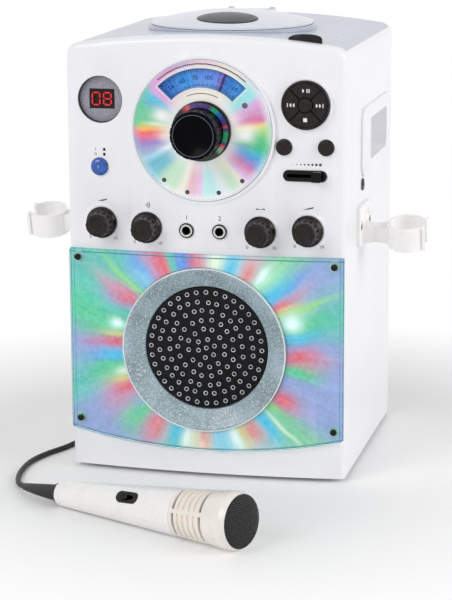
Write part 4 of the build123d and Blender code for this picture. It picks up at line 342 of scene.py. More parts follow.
# Black foam under the microphone's wire; also the dark lining that paints shade in the neck's deep
# slots.
FOAM_AND_SHADE = Finish("black_foam_and_shade", display(10, 10, 10), roughness=0.9, mottle=0.4, mottle_size=0.001,
              grain_depth=0.0002)
WIRE = Finish("black_wire", display(70, 70, 72), roughness=0.35, metallic=0.6, mottle=0.3,
              mottle_size=0.002)
STEEL = Finish("steel", display(176, 178, 182), roughness=0.3, metallic=1.0, mottle=0.08,
               mottle_size=0.004)
NICKEL = Finish("nickel", display(205, 205, 202), roughness=0.16, metallic=1.0, mottle=0.05,
                mottle_size=0.004, smear=0.05)
BOARD = Speckled("circuit_board", display(28, 92, 52), roughness=0.4, flake=display(190, 160, 80),
                 flake_size=0.002, flake_share=0.08)
DISPLAY_GREY = Speckled("display_grey", display(138, 137, 150), roughness=0.45, mottle=0.06,
                        mottle_size=0.01, flake=display(168, 166, 176), flake_size=0.0006,
                        flake_share=0.35)
DISPLAY_WALL = Finish("display_wall", display(38, 36, 46), roughness=0.4, mottle=0.1,
                      mottle_size=0.01)
DIGIT_RED = Finish("digit_window", display(42, 4, 10), roughness=0.12, specular=0.25, mottle=0.3,
                   mottle_size=0.003)
DIGIT_LIT = Lit("lit_digits", display(216, 40, 44), roughness=0.2, mottle=0.1, mottle_size=0.002,
                glow=0.25)
POWER_BLUE = Lit("power_blue", display(14, 80, 166), roughness=0.1, coat=0.5, mottle=0.5,
                 mottle_size=0.006, glow=0.12)
POINTER = Finish("pointer_violet", display(66, 20, 104), roughness=0.35)
COVER_CLEAR = Clear("clear_cover", display(236, 250, 250), roughness=0.04, smear=0.02,
                    mottle=0.01, ior=1.12)
WINDOW_CLEAR = Clear("clear_window", display(232, 242, 255), roughness=0.03, smear=0.01,
                     mottle=0.01, ior=1.15)
SMOKE = Clear("smoked_lens", display(34, 34, 46), roughness=0.2, coat=0.1, smear=0.03, passes=0.3,
              ior=1.2)
GLITTER = Speckled("glitter_ring", display(140, 162, 172), roughness=0.2, coat=0.6, mottle=0.25,
                   mottle_size=0.03, flake=display(198, 212, 218), flake_size=0.0007,
                   flake_share=0.22, grain_depth=0.0002)
# Pale, slightly glowing lip on the ring's outer edge: painted highlight.
RING_HIGHLIGHT = Lit("ring_edge", display(222, 232, 236), roughness=0.15, coat=0.8, mottle=0.05,
                glow=0.05)
FOIL = Finish("mirror_foil", display(214, 220, 226), roughness=0.2, metallic=1.0)
LAMP = Finish("lamp", display(246, 214, 206), roughness=0.1, coat=1.0)
DARK_INK = Finish("dark_ink", display(62, 62, 70), roughness=0.5, mottle=0.2, mottle_size=0.002)
WHITE_INK = Finish("white_ink", display(238, 238, 238), roughness=0.5, mottle=0.1,
                   mottle_size=0.002)
LIGHT_FILM = Printed("light_film", display(226, 236, 240), roughness=0.4, specular=0.2,
                     mottle=0.16, mottle_size=0.004, glow=0.2)
DIAL_FILM = Printed("dial_film", display(240, 244, 248), roughness=0.16, coat=0.3, mottle=0.1,
                    mottle_size=0.003, glow=0.08)
SCALE_FILM = Printed("scale_film", display(200, 224, 250), roughness=0.3, mottle=0.1,
                     mottle_size=0.006, glow=0.12)
RING_GLEAM = Printed("ring_gleam", display(40, 40, 50), roughness=0.25, coat=0.3, mottle=0.3,
                     mottle_size=0.003, glow=0.03)
BLUE_INK = Finish("blue_ink", display(22, 46, 124), roughness=0.5, mottle=0.3, mottle_size=0.002)
ARC_INK = Finish("arc_ink", display(104, 84, 116), roughness=0.5, mottle=0.5, mottle_size=0.003)
# Dark lines along the cover's edges: painted shade of its thickness.
COVER_EDGE_SHADE = Finish("cover_edge_shade", display(84, 136, 150), roughness=0.4, mottle=0.2,
                    mottle_size=0.02)
LANDING = Finish("screw_landing", display(176, 206, 208), roughness=0.3, mottle=0.1,
                 mottle_size=0.003)
KNOB_GLOSS = Finish("knob_gloss", display(9, 9, 13), roughness=0.2, specular=0.05, mottle=0.3,
                    mottle_size=0.012, smear=0.05)
KNOB_LINE = Finish("knob_line", display(78, 84, 106), roughness=0.3, mottle=0.3,
                   mottle_size=0.004)
VENT_IVORY = Finish("vent_ivory", display(240, 234, 226), roughness=0.3, coat=0.3, mottle=0.04,
                    mottle_size=0.01)
RIB_PEACH = Finish("rib_peach", display(238, 214, 190), roughness=0.35, mottle=0.06,
                   mottle_size=0.006)
DIAL_EDGE = Finish("dial_edge", display(206, 214, 226), roughness=0.15, coat=0.8)
# Its strong mottle stands in for the grille's patchy sheen: painted sheen.
GRILLE_BLACK = Finish("grille_black", display(17, 17, 22), roughness=0.35, specular=0.2,
                      mottle=0.9, mottle_size=0.02, grain_depth=0.00002)
# Pale rims of the black studs: painted highlight.
RIM_HIGHLIGHT = Finish("rim_highlight", display(206, 210, 220), roughness=0.25, mottle=0.5,
                  mottle_size=0.004)
GRIP_WHITE = Finish("grip_white", display(240, 240, 244), roughness=0.34, coat=0.15, mottle=0.02,
                    mottle_size=0.05, grain_depth=0.0000005)
FLOOR_WHITE = display(250, 250, 250)


def body_of(node: str) -> str:
    """Body that carries a node."""
    bodies = frame["record"]["behaviour"]["bodies"]
    return next(body for body, nodes in bodies.items() if node in nodes)


def add_piece(name: str, mesh: bpy.types.ID, finish: Finish,
              body: str = HOUSING) -> bpy.types.Object:
    """Put a finished piece into the scene.

    Args:
        name: the piece's name.
        mesh: its mesh or curve, in place.
        finish: what it is made of.
        body: the body that it moves with.

    Returns:
        The new object.
    """
    mesh.materials.clear()
    mesh.materials.append(finish.material())
    piece = bpy.data.objects.new(name, mesh)
    bpy.context.scene.collection.objects.link(piece)
    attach(piece, body)
    LOG.info("%s on %s, %s", name, body, finish.name)
    return piece


def smooth(mesh: Mesh) -> Mesh:
    """Shade a mesh smooth except at its sharp edges.

    Args:
        mesh: the mesh, which is changed.

    Returns:
        The same mesh.
    """
    mesh.shade_smooth()
    mesh.set_sharp_from_angle(angle=math.radians(SHARP))
    return mesh


class Edge(Enum):
    """Width of the round on a piece's sharp edges."""

    PLAIN = 0.0
    CRISP = 0.15 * MM
    FINE = 0.2 * MM
    EVEN = 0.25 * MM
    SOFT = 0.3 * MM
    FULL = 0.35 * MM


@dataclass(frozen=True)
class Coat:
    """Finish and edge that some CAD nodes get, as merged and smoothly shaded copies."""

    FLAT = 0.6              # faces that turn by fewer degrees than this are one
    MERGE = 0.002 * MM
    SEGMENTS = 2

    finish: Finish
    nodes: tuple[str, ...]
    edge: Edge = Edge.PLAIN

    def apply(self) -> None:
        """Stand a copy in for each node."""
        for node in self.nodes:
            self.polish(node)

    def polish(self, node: str) -> bpy.types.Object:
        """Stand a merged and smoothly shaded copy in for a CAD node.

        Args:
            node: the node's name.

        Returns:
            The copy.
        """
        shape = bmesh.new()
        shape.from_mesh(frame["nodes"][node].data)
        bmesh.ops.remove_doubles(shape, verts=shape.verts, dist=self.MERGE)
        bmesh.ops.dissolve_limit(shape, angle_limit=math.radians(self.FLAT), verts=shape.verts,
                                 edges=shape.edges)
        mesh = bpy.data.meshes.new(node + "_skin")
        shape.to_mesh(mesh)
        shape.free()
        piece = add_piece(node + "_skin", smooth(mesh), self.finish, body_of(node))
        if self.edge is not Edge.PLAIN:
            edge = piece.modifiers.new("edge", "BEVEL")
            edge.width = self.edge.value
            edge.segments = self.SEGMENTS
            edge.limit_method = "ANGLE"
            edge.angle_limit = math.radians(SHARP)
            edge.harden_normals = True
        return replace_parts(piece, node)


class Assembly:
    """Sub-assembly whose CAD nodes get their coats in order."""

    COATS: ClassVar[tuple[Coat, ...]] = ()

    def dress(self) -> None:
        """Give every CAD node of the sub-assembly its coat."""
        for coat in self.COATS:
            coat.apply()


def mesh_from(name: str, points: Sequence[Sequence[float]],
              faces: Sequence[Sequence[int]]) -> Mesh:
    """Mesh of points and faces.

    Args:
        name: the mesh's name.
        points: its points.
        faces: the points' numbers, face by face.

    Returns:
        The mesh.
    """
    mesh = bpy.data.meshes.new(name)
    mesh.from_pydata([tuple(point) for point in points], [], faces)
    mesh.update()
    return mesh


def lathe(name: str, profile: Sequence[Spot], place: Matrix, steps: int = 32) -> Mesh:
    """Closed ring or button turned about the local Z axis.

    Args:
        name: the mesh's name.
        profile: (radius, height) points that go round the section anticlockwise.
        place: where it goes.
        steps: points round the circle.

    Returns:
        The mesh, with faces pointing outwards.
    """
    points = []
    for step in range(steps):
        turn = math.tau * step / steps
        points += [place @ Vector((r * math.cos(turn), r * math.sin(turn), h)) for r, h in profile]
    count = len(profile)
    faces = []
    for step in range(steps):
        here, there = step * count, (step + 1) % steps * count
        for index in range(count):
            after = (index + 1) % count
            faces.append((here + index, there + index, there + after, here + after))
    return tidy(mesh_from(name, points, faces))


def tidy(mesh: Mesh) -> Mesh:
    """Merge a mesh's doubles and turn its faces outwards.

    Args:
        mesh: the mesh, which is changed.

    Returns:
        The same mesh.
    """
    shape = bmesh.new()
    shape.from_mesh(mesh)
    bmesh.ops.remove_doubles(shape, verts=shape.verts, dist=WELD)
    bmesh.ops.dissolve_degenerate(shape, edges=shape.edges, dist=WELD)
    bmesh.ops.recalc_face_normals(shape, faces=shape.faces)
    shape.to_mesh(mesh)
    shape.free()
    return smooth(mesh)


def from_top(clock: float) -> float:
    """Degrees between a clock angle and the top."""
    return abs((clock + 180) % 360 - 180)


def facing_front(x: float, y: float, z: float) -> Matrix:
    """Local frame with its Z axis out of the front, its X axis to the right and its Y axis up."""
    return Matrix.Translation((x, y, z)) @ Matrix.Rotation(math.pi / 2, 4, "X")


def joined(name: str, parts: Iterable[Mesh]) -> Mesh:
    """One mesh of several.

    Args:
        name: the mesh's name.
        parts: the meshes, which go.

    Returns:
        The mesh.
    """
    whole = bmesh.new()
    for part in parts:
        whole.from_mesh(part)
        bpy.data.meshes.remove(part)
    mesh = bpy.data.meshes.new(name)
    whole.to_mesh(mesh)
    whole.free()
    return mesh


def baked(holder: bpy.types.Object, name: str, helpers: Sequence[bpy.types.Object] = ()) -> Mesh:
    """Turn an object with modifiers into a plain mesh and remove it.

    Args:
        holder: the object.
        name: the new mesh's name.
        helpers: other objects that are no longer needed.

    Returns:
        The mesh.
    """
    bpy.context.view_layer.update()
    found = holder.evaluated_get(bpy.context.evaluated_depsgraph_get())
    mesh = bpy.data.meshes.new_from_object(found)
    mesh.name = name
    for old in (holder, *helpers):
        bpy.data.objects.remove(old)
    return smooth(mesh)


def put(name: str, content: bpy.types.ID) -> bpy.types.Object:
    """Helper object in the scene, which isn't a piece.

    Args:
        name: its name.
        content: its mesh or curve.

    Returns:
        The object.
    """
    helper = bpy.data.objects.new(name, content)
    bpy.context.scene.collection.objects.link(helper)
    return helper


class Recipe:
    """Geometry Nodes tree with named inputs, whose result becomes a plain mesh."""

    def __init__(self, name: str, inputs: dict[str, str]) -> None:
        """Start the tree with its inputs and its end: real shapes in one material.

        Args:
            name: the tree's name.
            inputs: kind of each further input, by its name.
        """
        self.tree = bpy.data.node_groups.new(name, "GeometryNodeTree")
        face = self.tree.interface
        face.new_socket("Geometry", in_out="INPUT", socket_type="NodeSocketGeometry")
        self.inputs = {}
        for title, kind in {**inputs, "Material": "Material"}.items():
            socket = face.new_socket(title, in_out="INPUT", socket_type="NodeSocket" + kind)
            self.inputs[title] = socket.identifier
        face.new_socket("Geometry", in_out="OUTPUT", socket_type="NodeSocketGeometry")
        self.given = self.add("NodeGroupInput").outputs
        self.real = self.add("GeometryNodeRealizeInstances")
        paint, result = self.add("GeometryNodeSetMaterial"), self.add("NodeGroupOutput")
        self.link(self.real.outputs[0], paint.inputs[0])
        self.link(self.given["Material"], paint.inputs["Material"])
        self.link(paint.outputs[0], result.inputs[0])

    def add(self, kind: str) -> bpy.types.Node:
        """Add a node."""
        return self.tree.nodes.new(kind)

    def link(self, start: Socket, end: Socket) -> None:
        """Link two sockets."""
        self.tree.links.new(start, end)

    def cook(self, holder: bpy.types.Object, name: str, values: dict[str, object],
             helpers: Sequence[bpy.types.Object] = ()) -> Mesh:
        """Run the tree on an object.

        Args:
            holder: the object, which goes.
            name: the new mesh's name.
            values: what the inputs get, by their names.
            helpers: other objects that the tree reads, which go too.

        Returns:
            A plain mesh.
        """
        step = holder.modifiers.new(self.tree.name, "NODES")
        step.node_group = self.tree
        for title, value in values.items():
            step[self.inputs[title]] = value
        return baked(holder, name, helpers)


class Stamp(Recipe):
    """Sets one small shape on every vertex of a mesh."""

    TURN = "turn"

    def __init__(self) -> None:
        """Build the tree: vertices in, shapes on them out."""
        super().__init__("stamp", {"Shape": "Object", "Size": "Float"})
        shape, angle = self.add("GeometryNodeObjectInfo"), self.add("FunctionNodeEulerToRotation")
        turn = self.add("GeometryNodeInputNamedAttribute")
        copies = self.add("GeometryNodeInstanceOnPoints")
        turn.data_type = "FLOAT_VECTOR"
        turn.inputs["Name"].default_value = self.TURN
        self.link(self.given["Shape"], shape.inputs["Object"])
        self.link(turn.outputs["Attribute"], angle.inputs[0])
        self.link(self.given["Geometry"], copies.inputs["Points"])
        self.link(shape.outputs["Geometry"], copies.inputs["Instance"])
        self.link(angle.outputs[0], copies.inputs["Rotation"])
        self.link(self.given["Size"], copies.inputs["Scale"])
        self.link(copies.outputs[0], self.real.inputs[0])

    def press(self, name: str, shape: Mesh, places: Sequence[tuple[Vector, Euler]],
              finish: Finish, size: float = 1.0) -> Mesh:
        """Set a shape at every place.

        Args:
            name: the new mesh's name.
            shape: the small shape about the origin.
            places: its centres and turns.
            finish: what the shapes are made of.
            size: scale of the shape.

        Returns:
            A plain mesh of all the shapes.
        """
        dots = mesh_from(name + "_dots", [point for point, _ in places], [])
        turns = dots.attributes.new(self.TURN, "FLOAT_VECTOR", "POINT")
        for item, (_, turn) in zip(turns.data, places):
            item.vector = Vector(turn)
        model, holder = put(name + "_shape", shape), put(name + "_holder", dots)
        values = {"Shape": model, "Size": size, "Material": finish.material()}
        return self.cook(holder, name, values, [model])


class Sweep(Recipe):
    """Runs a thin wire along every line of a curve object."""

    SIDES = 4

    def __init__(self) -> None:
        """Build the tree: lines in, wires out."""
        super().__init__("sweep", {"Radius": "Float"})
        section = self.add("GeometryNodeCurvePrimitiveCircle")
        sweep = self.add("GeometryNodeCurveToMesh")
        section.inputs["Resolution"].default_value = self.SIDES
        sweep.inputs["Fill Caps"].default_value = True
        self.link(self.given["Geometry"], sweep.inputs["Curve"])
        self.link(self.given["Radius"], section.inputs["Radius"])
        self.link(section.outputs["Curve"], sweep.inputs["Profile Curve"])
        self.link(sweep.outputs["Mesh"], self.real.inputs[0])

    def run(self, name: str, lines: Sequence[Sequence[Vector]], radius: float,
            finish: Finish) -> Mesh:
        """Sweep a wire along every line.

        Args:
            name: the new mesh's name.
            lines: points of each wire's middle.
            radius: half the wire's width.
            finish: what the wires are made of.

        Returns:
            A plain mesh of all the wires.
        """
        curve = bpy.data.curves.new(name + "_lines", "CURVE")
        curve.dimensions = "3D"
        for line in lines:
            spline = curve.splines.new("POLY")
            spline.points.add(len(line) - 1)
            for point, place in zip(spline.points, line):
                point.co = (*place, 1.0)
        values = {"Radius": radius, "Material": finish.material()}
        return self.cook(put(name + "_holder", curve), name, values)


@dataclass
class Sheet:
    """Thin painted film whose points lie on a polar grid about a centre on the front."""

    PAINT = "paint"
    name: str
    centre: Vector
    inner: float
    outer: Callable[[float], float]     # radius of the edge at a clock angle
    level: Callable[[float, float], float]   # y of the film at x and z
    colour: Callable[[float, float], Colour]  # at a clock angle and radius
    skip: Callable[[float, float], bool] = lambda clock, radius: False
    rounds: int = 360
    rings: int = 40

    def mesh(self) -> Mesh:
        """The film with its colours as an attribute.

        Returns:
            The mesh.
        """
        points, colours = [], []
        centre = (self.centre.x, self.centre.z)
        for step in range(self.rounds):
            clock = 360 * step / self.rounds
            edge = self.outer(clock)
            for ring in range(self.rings + 1):
                radius = self.inner + (edge - self.inner) * ring / self.rings
                x, z = at_clock(clock, radius, centre)
                points.append((x, self.level(x, z), z))
                colours.append(self.colour(clock, radius))
        faces = []
        width = self.rings + 1
        for step in range(self.rounds):
            here, there = step * width, (step + 1) % self.rounds * width
            clock = 360 * (step + 0.5) / self.rounds
            edge = self.outer(clock)
            for ring in range(self.rings):
                radius = self.inner + (edge - self.inner) * (ring + 0.5) / self.rings
                if not self.skip(clock, radius):
                    faces.append((here + ring, here + ring + 1, there + ring + 1, there + ring))
        mesh = mesh_from(self.name, points, faces)
        paint = mesh.attributes.new(self.PAINT, "FLOAT_COLOR", "POINT")
        for item, colour in zip(paint.data, colours):
            item.color = (*colour, 1.0)
        shape = bmesh.new()
        shape.from_mesh(mesh)
        bmesh.ops.delete(shape, geom=[v for v in shape.verts if not v.link_faces], context="VERTS")
        shape.to_mesh(mesh)
        shape.free()
        return mesh


# ---- Light, floor and camera ----
@dataclass(frozen=True)
class Lamp:
    """Square soft lamp that faces the machine."""

    name: str
    place: tuple[float, float, float]
    size: float         # its side, in metres
    power: float        # in watts

    def hang(self, aim: Vector) -> None:
        """Put the lamp up.

        Args:
            aim: the point that it faces.
        """
        facts = bpy.data.lights.new(self.name, "AREA")
        facts.size = self.size
        facts.energy = self.power
        lamp = bpy.data.objects.new(self.name, facts)
        lamp.location = self.place
        lamp.rotation_euler = (aim - Vector(self.place)).to_track_quat("-Z", "Y").to_euler()
        bpy.context.scene.collection.objects.link(lamp)


@dataclass
class Studio:
    """Pale floor, soft light and the camera.

    The camera's facts are its place, its turn in degrees, and its lens and sensor in millimetres.
    """

    eye: tuple[float, float, float] = (0.466, -1.970, 0.587)
    yaw: float = 13.60
    pitch: float = -12.56
    roll: float = -0.31
    lens: float = 131.7
    sensor: float = 36.0
    clip: Spot = (0.05, 50.0)
    lamps: tuple[Lamp, ...] = (Lamp("front_left", (-1.3, -2.2, 1.7), 1.5, 28.0),
                               Lamp("right_side", (2.4, -0.4, 1.2), 1.4, 25.0),
                               Lamp("overhead", (0.2, 0.6, 2.4), 1.8, 1.5))
    aim: Vector = field(default_factory=lambda: Vector((0, 0, 0.2)))
    sky: float = 0.5                # strength of the even light that the object gets from all round
    floor_half: float = 6.0
    floor_fade: Spot = (0.24, 0.5)  # the floor's shading turns plain white between these radii
    floor_roughness: float = 0.5

    def build(self) -> None:
        """Make the camera, the lamps, the world and the floor."""
        self.camera()
        self.world()
        for lamp in self.lamps:
            lamp.hang(self.aim)
        self.floor()
        bpy.context.scene.view_settings.view_transform = "Standard"

    def camera(self) -> None:
        """Put the camera where the view needs it."""
        facts = bpy.data.cameras.new("camera")
        facts.lens = self.lens
        facts.sensor_width = self.sensor
        facts.clip_start, facts.clip_end = self.clip
        eye = bpy.data.objects.new("camera", facts)
        turn = (Matrix.Rotation(math.radians(self.yaw), 4, "Z")
                @ Matrix.Rotation(math.radians(90 + self.pitch), 4, "X")
                @ Matrix.Rotation(math.radians(self.roll), 4, "Z"))
        eye.matrix_world = Matrix.Translation(self.eye) @ turn
        bpy.context.scene.collection.objects.link(eye)
        bpy.context.scene.camera = eye

    def seen(self, tree: Tree) -> Socket:
        """One where the camera, gloss or glass sees the surface, else zero.

        Args:
            tree: the nodes of the material or the world.

        Returns:
            The number's socket.
        """
        path = tree.add("ShaderNodeLightPath")
        kinds = [path.outputs[f"Is {kind} Ray"] for kind in ("Camera", "Glossy", "Transmission")]
        total = kinds[0]
        for kind in kinds[1:]:
            total = tree.add("ShaderNodeMath", {0: total, 1: kind}, operation="MAXIMUM").outputs[0]
        return total

    def world(self) -> None:
        """Even grey-white light that the camera sees as white."""
        world = bpy.data.worlds.new("studio")
        bpy.context.scene.world = world
        world.use_nodes = True
        tree = Tree("", world)
        level = tree.scaled(self.seen(tree), self.sky, 1.0)
        light = tree.add("ShaderNodeBackground", {"Color": (1.0, 1.0, 1.0), "Strength": level})
        tree.feed(tree.output.inputs["Surface"], light.outputs[0])

    def floor(self) -> None:
        """White floor that keeps the shadow near the machine and is plain white further out."""
        half = self.floor_half
        corners = [(-half, -half, 0), (half, -half, 0), (half, half, 0), (-half, half, 0)]
        mesh = mesh_from("floor", corners, [(0, 1, 2, 3)])
        tree = Tree("floor_white")
        far = tree.add("ShaderNodeVectorMath", {0: tree.place()}, operation="LENGTH")
        away = tree.scaled(far.outputs["Value"], 0.0, 1.0, *self.floor_fade)
        share = tree.add("ShaderNodeMath", {0: away, 1: self.seen(tree)},
                         operation="MULTIPLY").outputs[0]
        matt = tree.add("ShaderNodeBsdfPrincipled", {"Base Color": FLOOR_WHITE,
                                                     "Roughness": self.floor_roughness})
        plain = tree.add("ShaderNodeEmission", {"Color": (1.0, 1.0, 1.0), "Strength": 1.0})
        mixed = tree.add("ShaderNodeMixShader", {0: share, 1: matt.outputs[0], 2: plain.outputs[0]})
        tree.feed(tree.output.inputs["Surface"], mixed.outputs[0])
        mesh.materials.append(tree.material)
        floor = bpy.data.objects.new("floor", mesh)
        bpy.context.scene.collection.objects.link(floor)


# ---- The microphone's cord ----
@dataclass
class Cord:
    """The microphone's cord: round the machine's left side and wound up behind it.

    route is the stretch that isn't coiled, from the boot to the coil, in metres. plug_bend says how
    far behind the plug's tail, and above it, the points before the plug lie.
    """

    radius: float = 2.4 * MM
    length: float = 3.0
    coil: Spot = (-0.062, 0.168)    # the coil's middle on the table
    inner_turn: float = 19.6 * MM
    pitch: float = 4.85 * MM
    lift: float = 0.1 * MM          # gap between the lowest turns and the table
    steady: float = 0.6             # share of a turn before the cord moves to the next one's place
    columns: int = 4
    layers: int = 4
    points_in_turn: int = 16
    joins_at: float = 139.0         # where the cord comes into the coil, degrees from +X
    leaves_at: float = 90.0
    plug_bend: tuple[Spot, ...] = ((17 * MM, 6 * MM), (9 * MM, 1 * MM), (4 * MM, 0.0))
    route: tuple[tuple[float, float, float], ...] = (
        (-0.14367, -0.20746, 0.0056), (-0.15276, -0.19707, 0.00329), (-0.1615, -0.1765, 0.0025),
        (-0.1665, -0.151, 0.0025), (-0.1675, -0.122, 0.0025), (-0.1605, -0.0955, 0.0025),
        (-0.1485, -0.071, 0.0025), (-0.1415, -0.042, 0.0025), (-0.1395, -0.004, 0.0025),
        (-0.1395, 0.038, 0.0025), (-0.1405, 0.078, 0.0025), (-0.137, 0.108, 0.0025),
        (-0.129, 0.134, 0.0025), (-0.1165, 0.157, 0.0025), (-0.101, 0.177, 0.0025))

    def build(self) -> None:
        points = [*self.route, *self.wound(), *self.to_plug()]
        curve = bpy.data.curves.new("mic_lead", "CURVE")
        curve.dimensions = "3D"
        curve.bevel_depth = self.radius
        curve.bevel_resolution = 4
        curve.resolution_u = 6
        line = curve.splines.new("NURBS")
        line.points.add(len(points) - 1)
        for item, point in zip(line.points, points):
            item.co = (*point, 1.0)
        line.order_u = 3
        line.use_endpoint_u = True
        lead = add_piece("mic_lead", curve, RUBBER)
        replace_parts(lead, "mic_cord", "mic_cord_coil")

    def wound(self) -> list[tuple[float, float, float]]:
        """Points of the coil, clockwise from above, each layer inwards or outwards in turn.

        Returns:
            The points in order.
        """
        turns = self.columns * self.layers - 1 + (self.joins_at - self.leaves_at) / 360
        steps = round(turns * self.points_in_turn)
        points = []
        for step in range(steps + 1):
            wound = step / steps * turns
            radius, height = self.place_in_coil(wound)
            angle = math.radians(self.joins_at - 360 * wound)
            points.append((self.coil[0] + radius * math.cos(angle),
                           self.coil[1] + radius * math.sin(angle), height))
        return points

    def place_in_coil(self, wound: float) -> Spot:
        """Radius and height after so many turns, which change in the last part of each turn.

        Args:
            wound: turns so far.

        Returns:
            The radius and the height.
        """
        turn = int(wound)
        share = eased(max(0.0, (wound - turn - self.steady) / (1 - self.steady)))
        (radius, height), (next_radius, next_height) = self.station(turn), self.station(turn + 1)
        return radius + (next_radius - radius) * share, height + (next_height - height) * share

    def station(self, turn: int) -> Spot:
        """Radius and height of one turn.

        Args:
            turn: the turn's number, from 0.

        Returns:
            The radius and the height.
        """
        turn = min(turn, self.columns * self.layers - 1)
        layer, column = divmod(turn, self.columns)
        inwards = layer % 2 == 0
        step = self.columns - 1 - column if inwards else column
        return self.inner_turn + self.pitch * step, self.radius + self.lift + self.pitch * layer

    def to_plug(self) -> list[tuple[float, float, float]]:
        """Points from the coil down to the plug's tail.

        Returns:
            The points in order.
        """
        low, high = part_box("mic_plug")
        tail = Vector((low.x, (low.y + high.y) / 2, (low.z + high.z) / 2))
        return [*((tail.x - back, tail.y, tail.z + up) for back, up in self.plug_bend), tuple(tail)]


# ---- Printed marks ----
class Ink:
    """Thin printed marks that are drawn flat and then laid on a surface."""

    THICKNESS = 0.06 * MM
    SUNK = 0.2              # height of a mark's underside, as a share of its thickness
    WELD = 0.0005 * MM
    ARC_STEP = 9.0          # degrees between an arc's points
    LEAST_STEPS = 6
    DOT_HOLE = 0.02         # a dot is a ring with a hole of this share
    DIGIT_SCALE = 1.35      # text size that gives digits of height 1
    DIGIT_DETAIL = 3

    def __init__(self, name: str, lay: Callable[[float, float, float], Vector]) -> None:
        """Start with no marks.

        Args:
            name: the mesh's name.
            lay: gives the point on the surface for (across, up, height above it).
        """
        self.name = name
        self.lay = lay
        self.shape = bmesh.new()

    def patch(self, rows: Sequence[Sequence[Spot]]) -> None:
        """Mark made of rows of points with the same count each.

        Args:
            rows: the points, row by row.
        """
        layers = []
        for height in (self.SUNK * self.THICKNESS, self.THICKNESS):
            layers.append([[self.shape.verts.new(self.lay(u, v, height)) for u, v in row]
                           for row in rows])
        low, high = layers
        last, end = len(rows) - 1, len(rows[0]) - 1
        for i in range(last):
            k = i + 1
            for j in range(end):
                self.shape.faces.new((high[i][j], high[i][j + 1], high[k][j + 1], high[k][j]))
                self.shape.faces.new((low[i][j], low[k][j], low[k][j + 1], low[i][j + 1]))
        edge = [(0, j) for j in range(end)] + [(i, end) for i in range(last)]
        edge += [(last, j) for j in range(end, 0, -1)] + [(i, 0) for i in range(last, 0, -1)]
        for (i, j), (k, m) in zip(edge, edge[1:] + edge[:1]):
            self.shape.faces.new((low[i][j], low[k][m], high[k][m], high[i][j]))

    def outline(self, points: Sequence[Spot]) -> None:
        """Filled mark with straight sides, of three or four corners.

        Args:
            points: the corners in order.
        """
        a, b, c = points[:3]
        if len(points) > 3:
            self.patch([[a, b], [points[3], c]])
        else:
            self.patch([[a, ((a[0] + b[0]) / 2, (a[1] + b[1]) / 2)],
                        [c, ((b[0] + c[0]) / 2, (b[1] + c[1]) / 2)]])

    def arc(self, inner: float, outer: float, start: float = 0.0, end: float = 360.0,
            centre: Spot = (0.0, 0.0)) -> None:
        """Ring or part of one.

        Args:
            inner: its inner radius.
            outer: its outer radius.
            start: clock angle at which it starts.
            end: clock angle at which it ends.
            centre: its middle.
        """
        steps = max(self.LEAST_STEPS, round(abs(end - start) / self.ARC_STEP))
        clocks = [start + (end - start) * step / steps for step in range(steps + 1)]
        self.patch([[at_clock(clock, radius, centre) for clock in clocks]
                    for radius in (inner, outer)])

    def dot(self, centre: Spot, radius: float) -> None:
        """Round dot."""
        self.arc(self.DOT_HOLE * radius, radius, centre=centre)

    def stroke(self, start: Spot, end: Spot, width: float) -> None:
        """Straight bar.

        Args:
            start: middle of one end.
            end: middle of the other.
            width: its width.
        """
        along = Vector((end[0] - start[0], end[1] - start[1])).normalized() * width / 2
        across = (-along.y, along.x)
        self.outline([(start[0] - across[0], start[1] - across[1]),
                      (end[0] - across[0], end[1] - across[1]),
                      (end[0] + across[0], end[1] + across[1]),
                      (start[0] + across[0], start[1] + across[1])])

    def number(self, text: str, centre: Spot, size: float, turn: float = 0.0) -> None:
        """Plain number.

        Args:
            text: its digits.
            centre: its middle.
            size: its height.
            turn: clock angle that its top points to.
        """
        curve = bpy.data.curves.new("number", "FONT")
        curve.body, curve.size = text, size * self.DIGIT_SCALE
        curve.align_x, curve.align_y = "CENTER", "CENTER"
        curve.extrude = self.THICKNESS / 2
        curve.resolution_u = self.DIGIT_DETAIL
        mesh = baked(put("number", curve), "number")
        angle = math.radians(turn)
        for vertex in mesh.vertices:
            u, v, h = vertex.co
            vertex.co = self.lay(centre[0] + u * math.cos(angle) + v * math.sin(angle),
                                 centre[1] - u * math.sin(angle) + v * math.cos(angle),
                                 h + self.THICKNESS / 2)
        self.shape.from_mesh(mesh)
        bpy.data.meshes.remove(mesh)
        bpy.data.curves.remove(curve)

    def mesh(self) -> Mesh:
        """All marks as one mesh.

        Returns:
            The mesh.
        """
        bmesh.ops.remove_doubles(self.shape, verts=self.shape.verts, dist=self.WELD)
        bmesh.ops.dissolve_degenerate(self.shape, edges=self.shape.edges, dist=self.WELD)
        bmesh.ops.recalc_face_normals(self.shape, faces=self.shape.faces)
        mesh = bpy.data.meshes.new(self.name)
        self.shape.to_mesh(mesh)
        self.shape.free()
        return mesh


